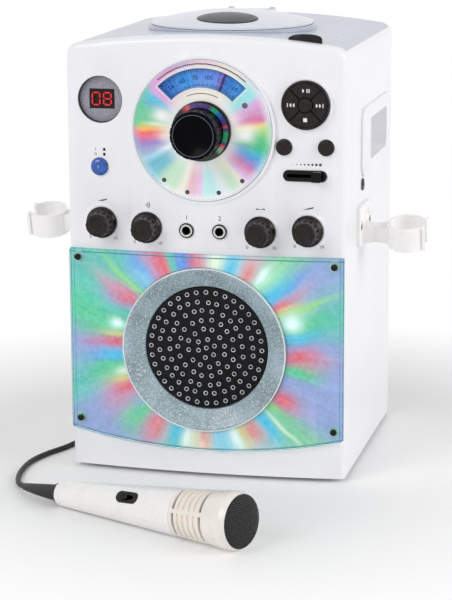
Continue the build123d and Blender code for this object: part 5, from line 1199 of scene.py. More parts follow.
# ---- The machine's sub-assemblies ----
@dataclass
class Housing(Assembly):
    """White case: bowed front, arched top, flat back and the screws that hold it."""

    COATS = (
        Coat(WHITE_HOUSING, ("front_panel",), Edge.FULL),
        Coat(WHITE_HOUSING, ("back_panel",), Edge.SOFT),
        Coat(BLACK, ("case_screws",), Edge.CRISP),
        Coat(RUBBER, ("rubber_feet",)))

    half_width: float = 126 * MM
    front: float = -120 * MM        # y of the front's side edges
    bow: float = 8 * MM
    deck_low: float = 380 * MM      # faces above this that look up are the deck, which gets a painted shade
    deck_slope: float = 0.6         # least upward part of such a face's normal

    def y(self, x: float, out: float = 0.0) -> float:
        """Y of the bowed front at x, moved out of it by out.

        Args:
            x: place across the front.
            out: distance out of the surface.

        Returns:
            The place in depth.
        """
        radius = (self.half_width ** 2 + self.bow ** 2) / (2 * self.bow)
        centre = self.front - self.bow + radius
        return centre - math.sqrt((radius + out) ** 2 - x ** 2)

    def lay(self, u: float, v: float, height: float) -> Vector:
        """Point on the bowed front at x = u and z = v."""
        return Vector((u, self.y(u, height), v))

    def build(self) -> None:
        """Dress the case and its small parts; the top's upward faces get a bluish grey, a painted
        shade.
        """
        case = Coat(WHITE_HOUSING, ("cabinet",)).polish("cabinet")
        # Painted shade: the top's upward faces take the darker deck colour.
        case.data.materials.append(SHADED_DECK.material())
        for face in case.data.polygons:
            if face.normal.z > self.deck_slope and face.center.z > self.deck_low:
                face.material_index = 1
        self.dress()


class Hue(Enum):
    """Colours of the light show and of the dial."""

    WHITE = display(254, 254, 254)
    PEARL = display(236, 238, 242)
    CREAM = display(252, 246, 222)
    BONE = display(230, 228, 210)
    PEACH = display(236, 202, 180)
    BLUSH = display(226, 190, 200)
    PALE_LILAC = display(226, 214, 232)
    MIST = display(212, 226, 230)
    PALE_CYAN = display(150, 226, 230)
    STEEL = display(174, 198, 208)
    SKY = display(156, 208, 232)
    CYAN = display(84, 192, 228)
    SEA = display(84, 182, 206)
    AZURE = display(36, 150, 218)
    BLUE = display(104, 150, 224)
    DEEP_BLUE = display(34, 116, 196)
    PERIWINKLE = display(118, 128, 214)
    LAVENDER = display(158, 162, 212)
    LILAC = display(192, 164, 204)
    ORCHID = display(208, 148, 194)
    PINK = display(220, 158, 220)
    VIOLET = display(152, 118, 206)
    ROSE = display(224, 144, 168)
    MAGENTA = display(214, 108, 164)
    CORAL = display(246, 128, 128)
    RED = display(248, 92, 104)
    ORANGE = display(248, 184, 84)
    AMBER = display(240, 205, 130)
    LIME = display(166, 214, 116)
    LEAF = display(138, 204, 158)
    MINT = display(176, 224, 184)
    GREEN = display(96, 198, 150)
    JADE = display(40, 184, 118)
    TEAL = display(108, 190, 180)
    AQUA = display(20, 180, 184)
    DUSK = display(84, 66, 140)
    NIGHT = display(18, 17, 24)


@dataclass(frozen=True)
class Beam:
    """One ray of a film's colours."""

    clock: float
    width: float
    hue: Hue
    strength: float = 0.8
    reach: float = 0.0      # millimetres over which it fades outwards, or none
    start: float = 0.0      # millimetres from the inner edge at which it is strongest


@dataclass(frozen=True)
class Ripple:
    """Soft noise over a film, by clock angle and radius."""

    size: float
    turn: float         # ripples in a degree, about
    out: float          # ripples in a metre of radius, about
    layer: float        # which slice of the noise it is

    def at(self, clock: float, radius: float) -> float:
        """Its height at a clock angle and radius."""
        return self.size * noise.noise(Vector((clock * self.turn, radius * self.out, self.layer)))


@dataclass
class Rays:
    """Colours that fan out about a centre: soft ground hues with beams over them."""

    WANDER = Ripple(2.2, 0.09, 45, 3.3)     # degrees that a ray strays
    STREAKS = (Ripple(1.0, 0.55, 12, 1.7), Ripple(0.6, 1.7, 30, 5.1))

    ground: Sequence[tuple[float, Colour]]     # clock angle and colour
    beams: Sequence[Beam]
    inner: float
    outskirts: Sequence[tuple[float, Colour]] = ()     # calmer hues that the ground turns into
    settle: Spot = (0.0, 1.0)   # distances out from the inner edge between which it turns
    streaks: float = 0.1        # how much fine rays lighten and darken it

    def at(self, clock: float, radius: float) -> Colour:
        """Colour at a clock angle and radius.

        Args:
            clock: the angle in degrees.
            radius: the distance from the centre.

        Returns:
            The colour.
        """
        out = radius - self.inner
        clock += self.WANDER.at(clock, radius)
        colour = self.ground_at(clock, self.ground)
        if self.outskirts:
            near, far = self.settle
            share = eased(min(1.0, max(0.0, (out - near) / (far - near))))
            colour = blend_colours(colour, self.ground_at(clock, self.outskirts), share)
        for beam in self.beams:
            gap = from_top(clock - beam.clock)
            share = beam.strength * math.exp(-((gap / beam.width) ** 2))
            if beam.reach:
                share *= math.exp(-(((out - beam.start * MM) / (beam.reach * MM)) ** 2))
            colour = blend_colours(colour, beam.hue.value, share)
        streak = sum(ripple.at(clock, radius) for ripple in self.STREAKS)
        return tuple(min(1.0, max(0.0, value * (1 + self.streaks * streak))) for value in colour)

    def ground_at(self, clock: float, ground: Sequence[tuple[float, Colour]]) -> Colour:
        """Colour at a clock angle, blended smoothly between the stops.

        Args:
            clock: the angle in degrees.
            ground: the stops.

        Returns:
            The colour.
        """
        marks = [*ground, (ground[0][0] + 360, ground[0][1])]
        clock = clock % 360
        if clock < marks[0][0]:
            clock += 360
        for (low, first), (high, second) in zip(marks, marks[1:]):
            if low <= clock <= high:
                return blend_colours(first, second, eased((clock - low) / (high - low)))
        return marks[0][1]


def stops(marks: dict[float, Hue]) -> tuple[tuple[float, Colour], ...]:
    """Clock angles with the colours that a film has there."""
    return tuple((clock, hue.value) for clock, hue in marks.items())


SHOW_GROUND = stops({
    0: Hue.BLUSH, 8: Hue.BONE, 17: Hue.SKY, 30: Hue.BLUSH, 40: Hue.MINT, 50: Hue.CYAN,
    58: Hue.LAVENDER, 66: Hue.MINT, 74: Hue.GREEN, 80: Hue.SEA, 86: Hue.LAVENDER, 93: Hue.ORCHID,
    101: Hue.GREEN, 107: Hue.LAVENDER, 115: Hue.LAVENDER, 122: Hue.LILAC, 128: Hue.LEAF,
    134: Hue.LEAF, 139: Hue.CYAN, 146: Hue.STEEL, 156: Hue.BONE, 169: Hue.SKY, 180: Hue.PEACH,
    190: Hue.BONE, 199: Hue.TEAL, 205: Hue.STEEL, 212: Hue.ORCHID, 226: Hue.LEAF, 236: Hue.LILAC,
    243: Hue.ORCHID, 252: Hue.LEAF, 257: Hue.GREEN, 263: Hue.BLUE, 268: Hue.LAVENDER,
    273: Hue.ORCHID, 279: Hue.LEAF, 285: Hue.GREEN, 293: Hue.TEAL, 299: Hue.LAVENDER,
    303: Hue.ORCHID, 311: Hue.LEAF, 319: Hue.BLUE, 326: Hue.ORCHID, 333: Hue.ROSE, 340: Hue.TEAL,
    347: Hue.PERIWINKLE, 354: Hue.MAGENTA})
SHOW_OUTSKIRTS = stops({
    0: Hue.STEEL, 20: Hue.SKY, 40: Hue.LEAF, 55: Hue.LAVENDER, 75: Hue.TEAL, 90: Hue.LAVENDER,
    120: Hue.LAVENDER, 132: Hue.LEAF, 150: Hue.STEEL, 180: Hue.MIST, 205: Hue.STEEL,
    225: Hue.LAVENDER, 240: Hue.LAVENDER, 252: Hue.TEAL, 270: Hue.LAVENDER, 285: Hue.GREEN,
    300: Hue.TEAL, 315: Hue.TEAL, 330: Hue.LAVENDER, 345: Hue.LAVENDER})
SHOW_BEAMS = (
    Beam(332.5, 5.2, Hue.RED, 0.95, 15, 10), Beam(356, 3.6, Hue.CORAL, 0.8, 12, 6),
    Beam(29, 4.6, Hue.CORAL, 0.9, 13, 6), Beam(59.5, 5.0, Hue.RED, 0.95, 13, 7),
    Beam(62.5, 2.6, Hue.AMBER, 0.7, 16, 8), Beam(92.5, 5.6, Hue.RED, 1.0, 15, 12),
    Beam(120, 5.4, Hue.RED, 0.95, 14, 8), Beam(148, 5.0, Hue.CORAL, 0.95, 13, 9),
    Beam(180, 4.0, Hue.CORAL, 0.6, 9, 4), Beam(211, 6.0, Hue.CORAL, 0.95, 16, 9),
    Beam(243.5, 5.6, Hue.RED, 0.95, 14, 7), Beam(272.6, 4.2, Hue.RED, 0.95, 16, 8),
    Beam(302, 4.6, Hue.RED, 0.95, 14, 9), Beam(303.5, 3.2, Hue.ROSE, 0.7, 22, 26),
    Beam(271, 3.0, Hue.MAGENTA, 0.5, 18, 26), Beam(57, 3.0, Hue.ROSE, 0.6, 16, 24),
    Beam(94, 4.6, Hue.ROSE, 0.5, 16, 28), Beam(238, 6.0, Hue.ROSE, 0.5, 16, 20),
    Beam(347, 3.4, Hue.BLUE, 0.8, 12, 6), Beam(341, 2.4, Hue.TEAL, 0.8, 14, 8),
    Beam(17, 3.4, Hue.CYAN, 0.85, 12, 4), Beam(50, 3.6, Hue.CYAN, 0.9, 12, 2),
    Beam(52, 2.0, Hue.BLUE, 0.6, 26, 24), Beam(79.7, 2.8, Hue.CYAN, 1.0, 12, 8),
    Beam(101.7, 3.0, Hue.GREEN, 0.9, 12, 10), Beam(138, 3.8, Hue.CYAN, 0.9, 16, 8),
    Beam(169, 4.4, Hue.SKY, 0.9, 14, 6), Beam(198.5, 4.2, Hue.CYAN, 0.9, 14, 6),
    Beam(225, 4.4, Hue.GREEN, 0.7, 18, 10), Beam(229, 2.4, Hue.LAVENDER, 0.7, 10, 3),
    Beam(263, 3.4, Hue.CYAN, 0.9, 14, 10), Beam(255, 3.0, Hue.GREEN, 0.8, 14, 18),
    Beam(281, 5.6, Hue.GREEN, 0.7, 20, 24), Beam(319, 4.2, Hue.SKY, 0.9, 18, 8),
    Beam(321, 2.8, Hue.BLUE, 0.6, 14, 20), Beam(73.5, 4.0, Hue.GREEN, 0.8, 16, 30),
    Beam(65.5, 1.6, Hue.LIME, 0.8, 30, 26), Beam(311, 1.1, Hue.LIME, 0.8, 34, 18),
    Beam(134, 1.0, Hue.CREAM, 0.8, 26, 22), Beam(128, 2.2, Hue.LIME, 0.8, 9, 3),
    Beam(249, 2.6, Hue.AMBER, 0.8, 10, 8), Beam(253.5, 2.4, Hue.CREAM, 0.9, 8, 4),
    Beam(278, 1.8, Hue.AMBER, 0.8, 12, 8), Beam(153.5, 2.6, Hue.AMBER, 0.8, 14, 8),
    Beam(71.2, 4.4, Hue.WHITE, 1.0, 9, 9), Beam(37.5, 2.2, Hue.WHITE, 1.0, 10, 12),
    Beam(284, 3.2, Hue.WHITE, 1.0, 7, 8), Beam(160, 3.4, Hue.WHITE, 0.95, 11, 9),
    Beam(190, 4.0, Hue.WHITE, 0.9, 10, 7), Beam(187, 2.4, Hue.AMBER, 0.5, 10, 6),
    Beam(6, 3.8, Hue.CREAM, 0.95, 12, 5))
DIAL_GROUND = stops({
    0: Hue.BONE, 30: Hue.BONE, 45: Hue.PALE_CYAN, 54: Hue.PALE_CYAN, 62: Hue.PINK, 70: Hue.ORCHID,
    78: Hue.MAGENTA, 84: Hue.AMBER, 88: Hue.LIME, 97: Hue.JADE, 105: Hue.JADE, 111: Hue.AQUA,
    117: Hue.AZURE, 123: Hue.VIOLET, 129: Hue.MAGENTA, 134: Hue.PINK, 141: Hue.BONE,
    150: Hue.MINT, 160: Hue.MIST, 168: Hue.PALE_CYAN, 177: Hue.PALE_CYAN, 181: Hue.PINK,
    191: Hue.ROSE, 200: Hue.BONE, 210: Hue.MINT, 219: Hue.MINT, 228: Hue.SEA, 237: Hue.SEA,
    244: Hue.SKY, 250: Hue.LAVENDER, 256: Hue.VIOLET, 261: Hue.MAGENTA, 266: Hue.RED,
    271: Hue.ORANGE, 275: Hue.LIME, 280: Hue.GREEN, 288: Hue.GREEN, 297: Hue.SEA, 303: Hue.CYAN,
    309: Hue.PINK, 315: Hue.PINK, 325: Hue.BLUSH, 345: Hue.PALE_LILAC})
DIAL_OUTSKIRTS = stops({
    0: Hue.BLUSH, 30: Hue.BONE, 50: Hue.MIST, 62: Hue.PALE_LILAC, 75: Hue.PALE_LILAC,
    90: Hue.MINT, 105: Hue.GREEN, 120: Hue.SKY, 133: Hue.PALE_LILAC, 150: Hue.PEARL,
    180: Hue.PEARL, 210: Hue.PEARL, 230: Hue.SKY, 245: Hue.STEEL, 258: Hue.LAVENDER,
    268: Hue.ROSE, 278: Hue.GREEN, 290: Hue.GREEN, 303: Hue.TEAL, 315: Hue.PINK, 330: Hue.ORCHID,
    345: Hue.LILAC})
DIAL_BEAMS = (
    Beam(0, 400.0, Hue.WHITE, 0.95, 9.5), Beam(93, 9.0, Hue.WHITE, 1.0, 9, 12),
    Beam(180, 40.0, Hue.WHITE, 0.35, 30, 30), Beam(86, 3.0, Hue.CREAM, 0.9, 10, 12),
    Beam(288, 9.0, Hue.WHITE, 1.0, 9, 11), Beam(262, 7.0, Hue.CREAM, 0.6, 8, 6),
    Beam(276, 2.6, Hue.CREAM, 0.8, 9, 14), Beam(0, 40.0, Hue.CREAM, 0.7, 5, 7),
    Beam(245, 4.0, Hue.WHITE, 0.7, 8, 8), Beam(148, 8.0, Hue.CREAM, 0.7, 8, 8),
    Beam(56, 5.0, Hue.PALE_CYAN, 0.9, 12, 18), Beam(110, 4.0, Hue.BLUE, 0.5, 8, 12))
SCALE_GROUND = stops({
    0: Hue.BLUE, 12: Hue.BLUE, 20: Hue.VIOLET, 27: Hue.DEEP_BLUE, 40: Hue.AZURE,
    52: Hue.DEEP_BLUE, 320: Hue.DEEP_BLUE, 340: Hue.AZURE})
SCALE_BEAMS = (Beam(0, 50.0, Hue.SKY, 0.35, 4, 3),)
GLEAM_GROUND = stops({
    0: Hue.DUSK, 20: Hue.DUSK, 34: Hue.JADE, 48: Hue.DEEP_BLUE, 62: Hue.DUSK, 70: Hue.DUSK,
    76: Hue.RED, 82: Hue.DUSK, 90: Hue.JADE, 104: Hue.JADE, 114: Hue.DUSK, 120: Hue.RED,
    130: Hue.LEAF, 142: Hue.NIGHT, 318: Hue.NIGHT, 332: Hue.RED, 344: Hue.DUSK})


@dataclass
class LightBox(Assembly):
    """Clear front cover over a glowing film of coloured rays, with the speaker in its middle."""

    COATS = (
        Coat(COVER_CLEAR, ("light_cover",)),
        Coat(FOIL, ("light_reflector",)),
        Coat(LAMP, ("light_leds",)),
        Coat(GLITTER, ("glitter_ring",), Edge.SOFT),
        Coat(BLACK, ("speaker_driver",)))
    CUP = ((1, 0), (0.84, 1), (0.6, 1), (0.5, 0.25), (0, 0.2), (0, 0))  # shares of a stud's
    RIM = ((0.86, 0.92), (0.84, 1.12), (0.6, 1.12), (0.58, 0.86))       # radius and height
    # Millimetres out from the ring's edge, and forwards.
    LIP = ((-1.3, -1.5), (-1.3, 0.2), (-0.8, 0.6), (-0.2, 0.2), (-0.2, -1.5))
    SEARCH = 0.3            # the cover's edge is nearer than this
    HALVINGS = 30

    housing: Housing
    middle: float = 118 * MM
    ring: float = 75 * MM
    grille: float = 56 * MM
    floor: float = -115 * MM
    half_width: float = 125.4 * MM
    corner: float = 39 * MM         # height of the cover's lower corners
    top: float = 205.5 * MM
    sag: float = 13.5 * MM
    inset: float = 0.3 * MM         # how far the film stays inside the cover's outline
    film_gap: float = 0.4 * MM      # between the ring and the film
    behind: float = 0.05 * MM       # how far the film lies out from the bowed front
    settle: Spot = (14 * MM, 46 * MM)
    screws: tuple[Spot, ...] = tuple((x * MM, z * MM) for x in (-117, 117) for z in (48, 197.5))
    landing: float = 5.4 * MM       # radius of the pale patch round a screw
    low_lines: tuple[Spot, ...] = ((0.7 * MM, 0.7 * MM), (1.8 * MM, 0.3 * MM))  # inset and width
    top_lines: tuple[Spot, ...] = ((0.4 * MM, 0.3 * MM), (3.2 * MM, 0.9 * MM))
    side_lines: tuple[Spot, ...] = ((0.6 * MM, 0.5 * MM), (3.6 * MM, 0.4 * MM))
    line_end: float = 1 * MM
    line_steps: int = 24            # steps of a line from the middle to the side
    stud: float = 2.5 * MM
    stud_high: float = 1.6 * MM
    stud_sides: int = 8
    jitter: float = 0.9 * MM        # how far a stud may stray from its ring
    chance: int = 4                 # seed of the straying
    plate: float = 3.0 * MM
    plate_step: float = 5 * MM
    plate_edge: float = 0.6 * MM
    rings: int = 6
    twist: float = 20.0

    def build(self, stamp: Stamp) -> None:
        """Dress the cover, lamps, ring and speaker and make the film and the grille.

        Args:
            stamp: sets the studs.
        """
        self.dress()
        self.film()
        self.lines()
        self.ring_edge()
        self.studs(stamp)

    def edge(self, clock: float) -> float:
        """Distance from the speaker's middle to the cover's edge at a clock angle.

        Args:
            clock: the angle in degrees.

        Returns:
            The distance.
        """
        low, high = 0.0, self.SEARCH
        for _ in range(self.HALVINGS):
            half = (low + high) / 2
            if self.inside(*at_clock(clock, half, (0.0, self.middle))):
                low = half
            else:
                high = half
        return low

    def low_edge(self, x: float) -> float:
        """Height of the cover's bulging lower edge at x."""
        radius = (self.half_width ** 2 + self.sag ** 2) / (2 * self.sag)
        return self.corner - self.sag + radius - math.sqrt(max(radius ** 2 - x ** 2, 0.0))

    def inside(self, x: float, z: float) -> bool:
        """True where the cover's outline holds the point."""
        return (abs(x) < self.half_width - self.inset
                and self.low_edge(x) + self.inset < z < self.top - self.inset)

    def film(self) -> None:
        """Glowing film right behind the cover."""
        rays = Rays(ground=SHOW_GROUND, beams=SHOW_BEAMS, inner=self.ring, outskirts=SHOW_OUTSKIRTS,
                    settle=self.settle)
        sheet = Sheet(name="light_film", centre=Vector((0, 0, self.middle)),
                      inner=self.ring + self.film_gap, outer=self.edge,
                      level=lambda x, z: self.housing.y(x, self.behind), colour=rays.at,
                      rounds=720, rings=36)
        add_piece("light_film", sheet.mesh(), LIGHT_FILM)

    def lines(self) -> None:
        """Dark lines where the cover's thick edges look dark, a painted shade, and the pale landing
        round each screw.
        """
        edge = Ink("cover_lines", self.housing.lay)
        across = [self.half_width * (step / self.line_steps - 1)
                  for step in range(2 * self.line_steps + 1)]
        heights = (self.corner + self.line_end, self.middle, self.top - self.line_end)
        for inset, width in self.low_lines:
            edge.patch([[(x, self.low_edge(x) + inset + add) for x in across]
                        for add in (0.0, width)])
        for inset, width in self.top_lines:
            edge.patch([[(x, self.top - inset - add) for x in across] for add in (0.0, width)])
        for side in (-1, 1):
            for inset, width in self.side_lines:
                edge.patch([[(side * (self.half_width - inset - add), z) for z in heights]
                            for add in (0.0, width)])
        add_piece("cover_lines", edge.mesh(), COVER_EDGE_SHADE)
        halo = Ink("screw_landings", self.housing.lay)
        for place in self.screws:
            halo.dot(place, self.landing)
        add_piece("screw_landings", halo.mesh(), LANDING)

    def ring_edge(self) -> None:
        """Outer lip of the ring, pale and glowing a little: a painted highlight."""
        low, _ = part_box("glitter_ring")
        section = [(self.ring + out * MM, forwards * MM) for out, forwards in self.LIP]
        edge = lathe("ring_edge", section, facing_front(0, low.y, self.middle), steps=128)
        add_piece("ring_edge", edge, RING_HIGHLIGHT)

    def stud_places(self) -> list[Spot]:
        """Centres of the studs from the grille's middle, a little uneven.

        Returns:
            The centres.
        """
        chance = random.Random(self.chance)
        places = [(0.0, 0.0)]
        pitch = (self.grille - 2 * self.stud) / self.rings
        for ring in range(1, self.rings + 1):
            for index in range(6 * ring):
                angle = math.radians(60 * index / ring + self.twist * ring)
                stray = self.jitter if ring < self.rings else 0.0
                places.append((pitch * ring * math.cos(angle) + chance.uniform(-stray, stray),
                               pitch * ring * math.sin(angle) + chance.uniform(-stray, stray)))
        return places

    def studs(self, stamp: Stamp) -> None:
        """Grille of hollow studs whose rims are pale, a painted highlight, in the place of its
        plain solid.

        Args:
            stamp: sets the studs.
        """
        place = facing_front(0, self.floor, self.middle)
        edge, seat = self.grille, self.grille - self.plate_step
        plate = lathe("grille_plate", [
            (0, -self.plate), (seat, -self.plate), (seat, 0), (edge, 0),
            (edge, self.plate - self.plate_edge), (edge - self.plate_edge, self.plate),
            (0, self.plate)], place, steps=96)
        turn = Euler((math.pi / 2, 0, 0))
        places = [(Vector((u, self.floor - self.plate, self.middle + v)), turn)
                  for u, v in self.stud_places()]
        cups = stamp.press("cups", self.turned("cup", self.CUP), places, GRILLE_BLACK)
        rims = stamp.press("rims", self.turned("rim", self.RIM), places, RIM_HIGHLIGHT)
        whole = joined("grille_studs", [plate, cups])
        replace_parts(add_piece("grille_studs", whole, GRILLE_BLACK), "speaker_grille")
        add_piece("grille_rims", rims, RIM_HIGHLIGHT)

    def turned(self, name: str, shares: Sequence[Spot]) -> Mesh:
        """Small turned shape, by shares of a stud's radius and height."""
        section = [(self.stud * out, self.stud_high * up) for out, up in shares]
        return lathe(name, section, Matrix(), self.stud_sides)


@dataclass
class TuningDial(Assembly):
    """Round iridescent dial with a lit scale behind a clear window, and the large knob."""

    COATS = (
        Coat(DIAL_EDGE, ("dial_disc",)),
        Coat(WINDOW_CLEAR, ("dial_window",)),
        Coat(POINTER, ("dial_pointer",)),
        Coat(GLOSS_BLACK, ("tuning_ring",), Edge.SOFT),
        Coat(KNOB_GLOSS, ("tuning_knob",), Edge.SOFT))
    OVER = 0.05 * MM        # how far a film stands off what carries it
    INK_OVER = 0.06 * MM
    KNOB_OVER = 0.02 * MM

    middle: float = 315 * MM
    face: float = -130 * MM
    floor: float = -124 * MM
    radius: float = 62.5 * MM
    edge: float = 0.7 * MM                  # bare edge round the film
    hub: float = 26 * MM
    hub_overlap: float = 1 * MM
    settle: Spot = (28 * MM, 36 * MM)
    window: Spot = (37.5 * MM, 55 * MM)     # its inner and outer radius
    window_half: float = 46.0               # half its angle
    sheet_margin: Spot = (3 * MM, 6.0)      # how far the lit sheet reaches past it
    numbers: tuple[tuple[float, str], ...] = (
        (-38, "54"), (-24, "60"), (-9, "75"), (6, "100"), (21, "130"), (36, "160"))
    number_high: float = 4.2 * MM
    ticks: range = range(-44, 45, 2)        # their clock angles
    long_every: int = 6
    long_tick: float = 3.2 * MM
    short_tick: float = 1.8 * MM
    tick_wide: float = 0.45 * MM
    tick_inset: float = 1.2 * MM
    border: Spot = (0.5 * MM, 1.3 * MM)     # the border's near and far side from the window
    border_end: Spot = (1.0 * MM, 1.6)      # length past the window, and degrees past it
    border_bar: float = 0.8 * MM
    arcs: tuple[tuple[float, float, float, float], ...] = (
        (58.2 * MM, 59.3 * MM, -42, 42), (32.6 * MM, 33.3 * MM, -24, 26))
    bead: tuple[float, float, float] = (59, 45 * MM, 2.6 * MM)      # clock, distance and radius
    dots: tuple[float, ...] = (140.0, 164.6, 193.9, 217.9)
    dot_ring: Spot = (56 * MM, 2 * MM)      # their distance and radius
    dashes: range = range(-20, 21)
    dash_pitch: float = 2.4
    dash: Spot = (60.2 * MM, 61.2 * MM)
    dash_wide: float = 0.3 * MM
    gleam_inner: float = 20 * MM
    gleam_ring: Spot = (21.4 * MM, 25.4 * MM)
    knob_ring: Spot = (17.8 * MM, 18.4 * MM)

    def build(self) -> None:
        """Dress the dial's parts and make its films and marks."""
        self.dress()
        self.film()
        self.scale()
        self.gleam()
        self.knob_line()
        self.scale_marks()
        self.window_border()
        self.face_marks()

    def film(self) -> None:
        """Iridescent film on the dial's face, open over the window."""
        rays = Rays(ground=DIAL_GROUND, beams=DIAL_BEAMS, inner=self.hub, outskirts=DIAL_OUTSKIRTS,
                    settle=self.settle, streaks=0.05)
        sheet = Sheet(name="dial_film", centre=Vector((0, 0, self.middle)),
                      inner=self.hub - self.hub_overlap,
                      outer=lambda clock: self.radius - self.edge,
                      level=lambda x, z: self.face - self.OVER, colour=rays.at, skip=self.in_window,
                      rounds=720, rings=37)
        add_piece("dial_film", sheet.mesh(), DIAL_FILM)

    def in_window(self, clock: float, radius: float) -> bool:
        """True over the window."""
        inner, outer = self.window
        return inner < radius < outer and from_top(clock) < self.window_half

    def scale(self) -> None:
        """Blue lit sheet behind the window."""
        beyond, degrees = self.sheet_margin
        inner, outer = self.window[0] - beyond, self.window[1] + beyond
        rays = Rays(ground=SCALE_GROUND, beams=SCALE_BEAMS, inner=inner, streaks=0.2)
        sheet = Sheet(name="scale_sheet", centre=Vector((0, 0, self.middle)), inner=inner,
                      outer=lambda clock: outer, level=lambda x, z: self.floor - self.OVER,
                      colour=rays.at,
                      skip=lambda clock, radius: from_top(clock) > self.window_half + degrees,
                      rounds=360, rings=6)
        add_piece("scale_sheet", sheet.mesh(), SCALE_FILM)

    def gleam(self) -> None:
        """Colours that the dial throws on the ring behind the knob."""
        low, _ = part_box("tuning_ring")
        inner, outer = self.gleam_ring
        rays = Rays(ground=GLEAM_GROUND, beams=(), inner=self.gleam_inner, streaks=0.3)
        sheet = Sheet(name="ring_gleam", centre=Vector((0, 0, self.middle)), inner=inner,
                      outer=lambda clock: outer, level=lambda x, z: low.y - self.OVER,
                      colour=rays.at, rounds=240, rings=3)
        add_piece("ring_gleam", sheet.mesh(), RING_GLEAM)

    def knob_line(self) -> None:
        """Fine ring on the knob's face, which turns with it."""
        node = "tuning_knob"
        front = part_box(node)[0].y - self.KNOB_OVER
        ring = Ink("knob_line", lambda u, v, h: Vector((u, front - h, self.middle + v)))
        ring.arc(*self.knob_ring)
        add_piece("knob_line", ring.mesh(), KNOB_LINE, body_of(node))

    def lay_face(self, u: float, v: float, height: float) -> Vector:
        """Point on the dial's face from its middle."""
        return Vector((u, self.face - self.INK_OVER - height, self.middle + v))

    def lay_scale(self, u: float, v: float, height: float) -> Vector:
        """Point on the scale from the dial's middle."""
        return Vector((u, self.floor - self.INK_OVER - height, self.middle + v))

    def scale_marks(self) -> None:
        """Ticks and numbers of the scale."""
        inner, outer = self.window
        ink = Ink("scale_marks", self.lay_scale)
        for clock in self.ticks:
            reach = self.short_tick if clock % self.long_every else self.long_tick
            for end in (outer - self.tick_inset, inner + self.tick_inset + reach):
                ink.stroke(at_clock(clock, end - reach), at_clock(clock, end), self.tick_wide)
        for clock, text in self.numbers:
            ink.number(text, at_clock(clock, (inner + outer) / 2), self.number_high, clock)
        add_piece("scale_marks", ink.mesh(), BLUE_INK)

    def window_border(self) -> None:
        """Pale border round the window."""
        inner, outer = self.window
        near, far = self.border
        beyond, degrees = self.border_end
        half = self.window_half + degrees
        ink = Ink("dial_marks", self.lay_face)
        ink.arc(outer + near, outer + far, -half, half)
        ink.arc(inner - far, inner - near, -half, half)
        for clock in (-half, half):
            ink.stroke(at_clock(clock, inner - beyond), at_clock(clock, outer + beyond),
                       self.border_bar)
        add_piece("dial_border", ink.mesh(), WHITE_INK)

    def face_marks(self) -> None:
        """Fine arcs, dots and dashes on the dial's face."""
        ink = Ink("dial_arcs", self.lay_face)
        for arc in self.arcs:
            ink.arc(*arc)
        clock, distance, radius = self.bead
        ink.dot(at_clock(clock, distance), radius)
        add_piece("dial_arcs", ink.mesh(), ARC_INK)
        ink = Ink("dial_dots", self.lay_face)
        distance, radius = self.dot_ring
        for clock in self.dots:
            ink.dot(at_clock(clock, distance), radius)
        low, high = self.dash
        for index in self.dashes:
            clock = 180 + self.dash_pitch * index
            ink.stroke(at_clock(clock, low), at_clock(clock, high), self.dash_wide)
        add_piece("dial_dots", ink.mesh(), DARK_INK)


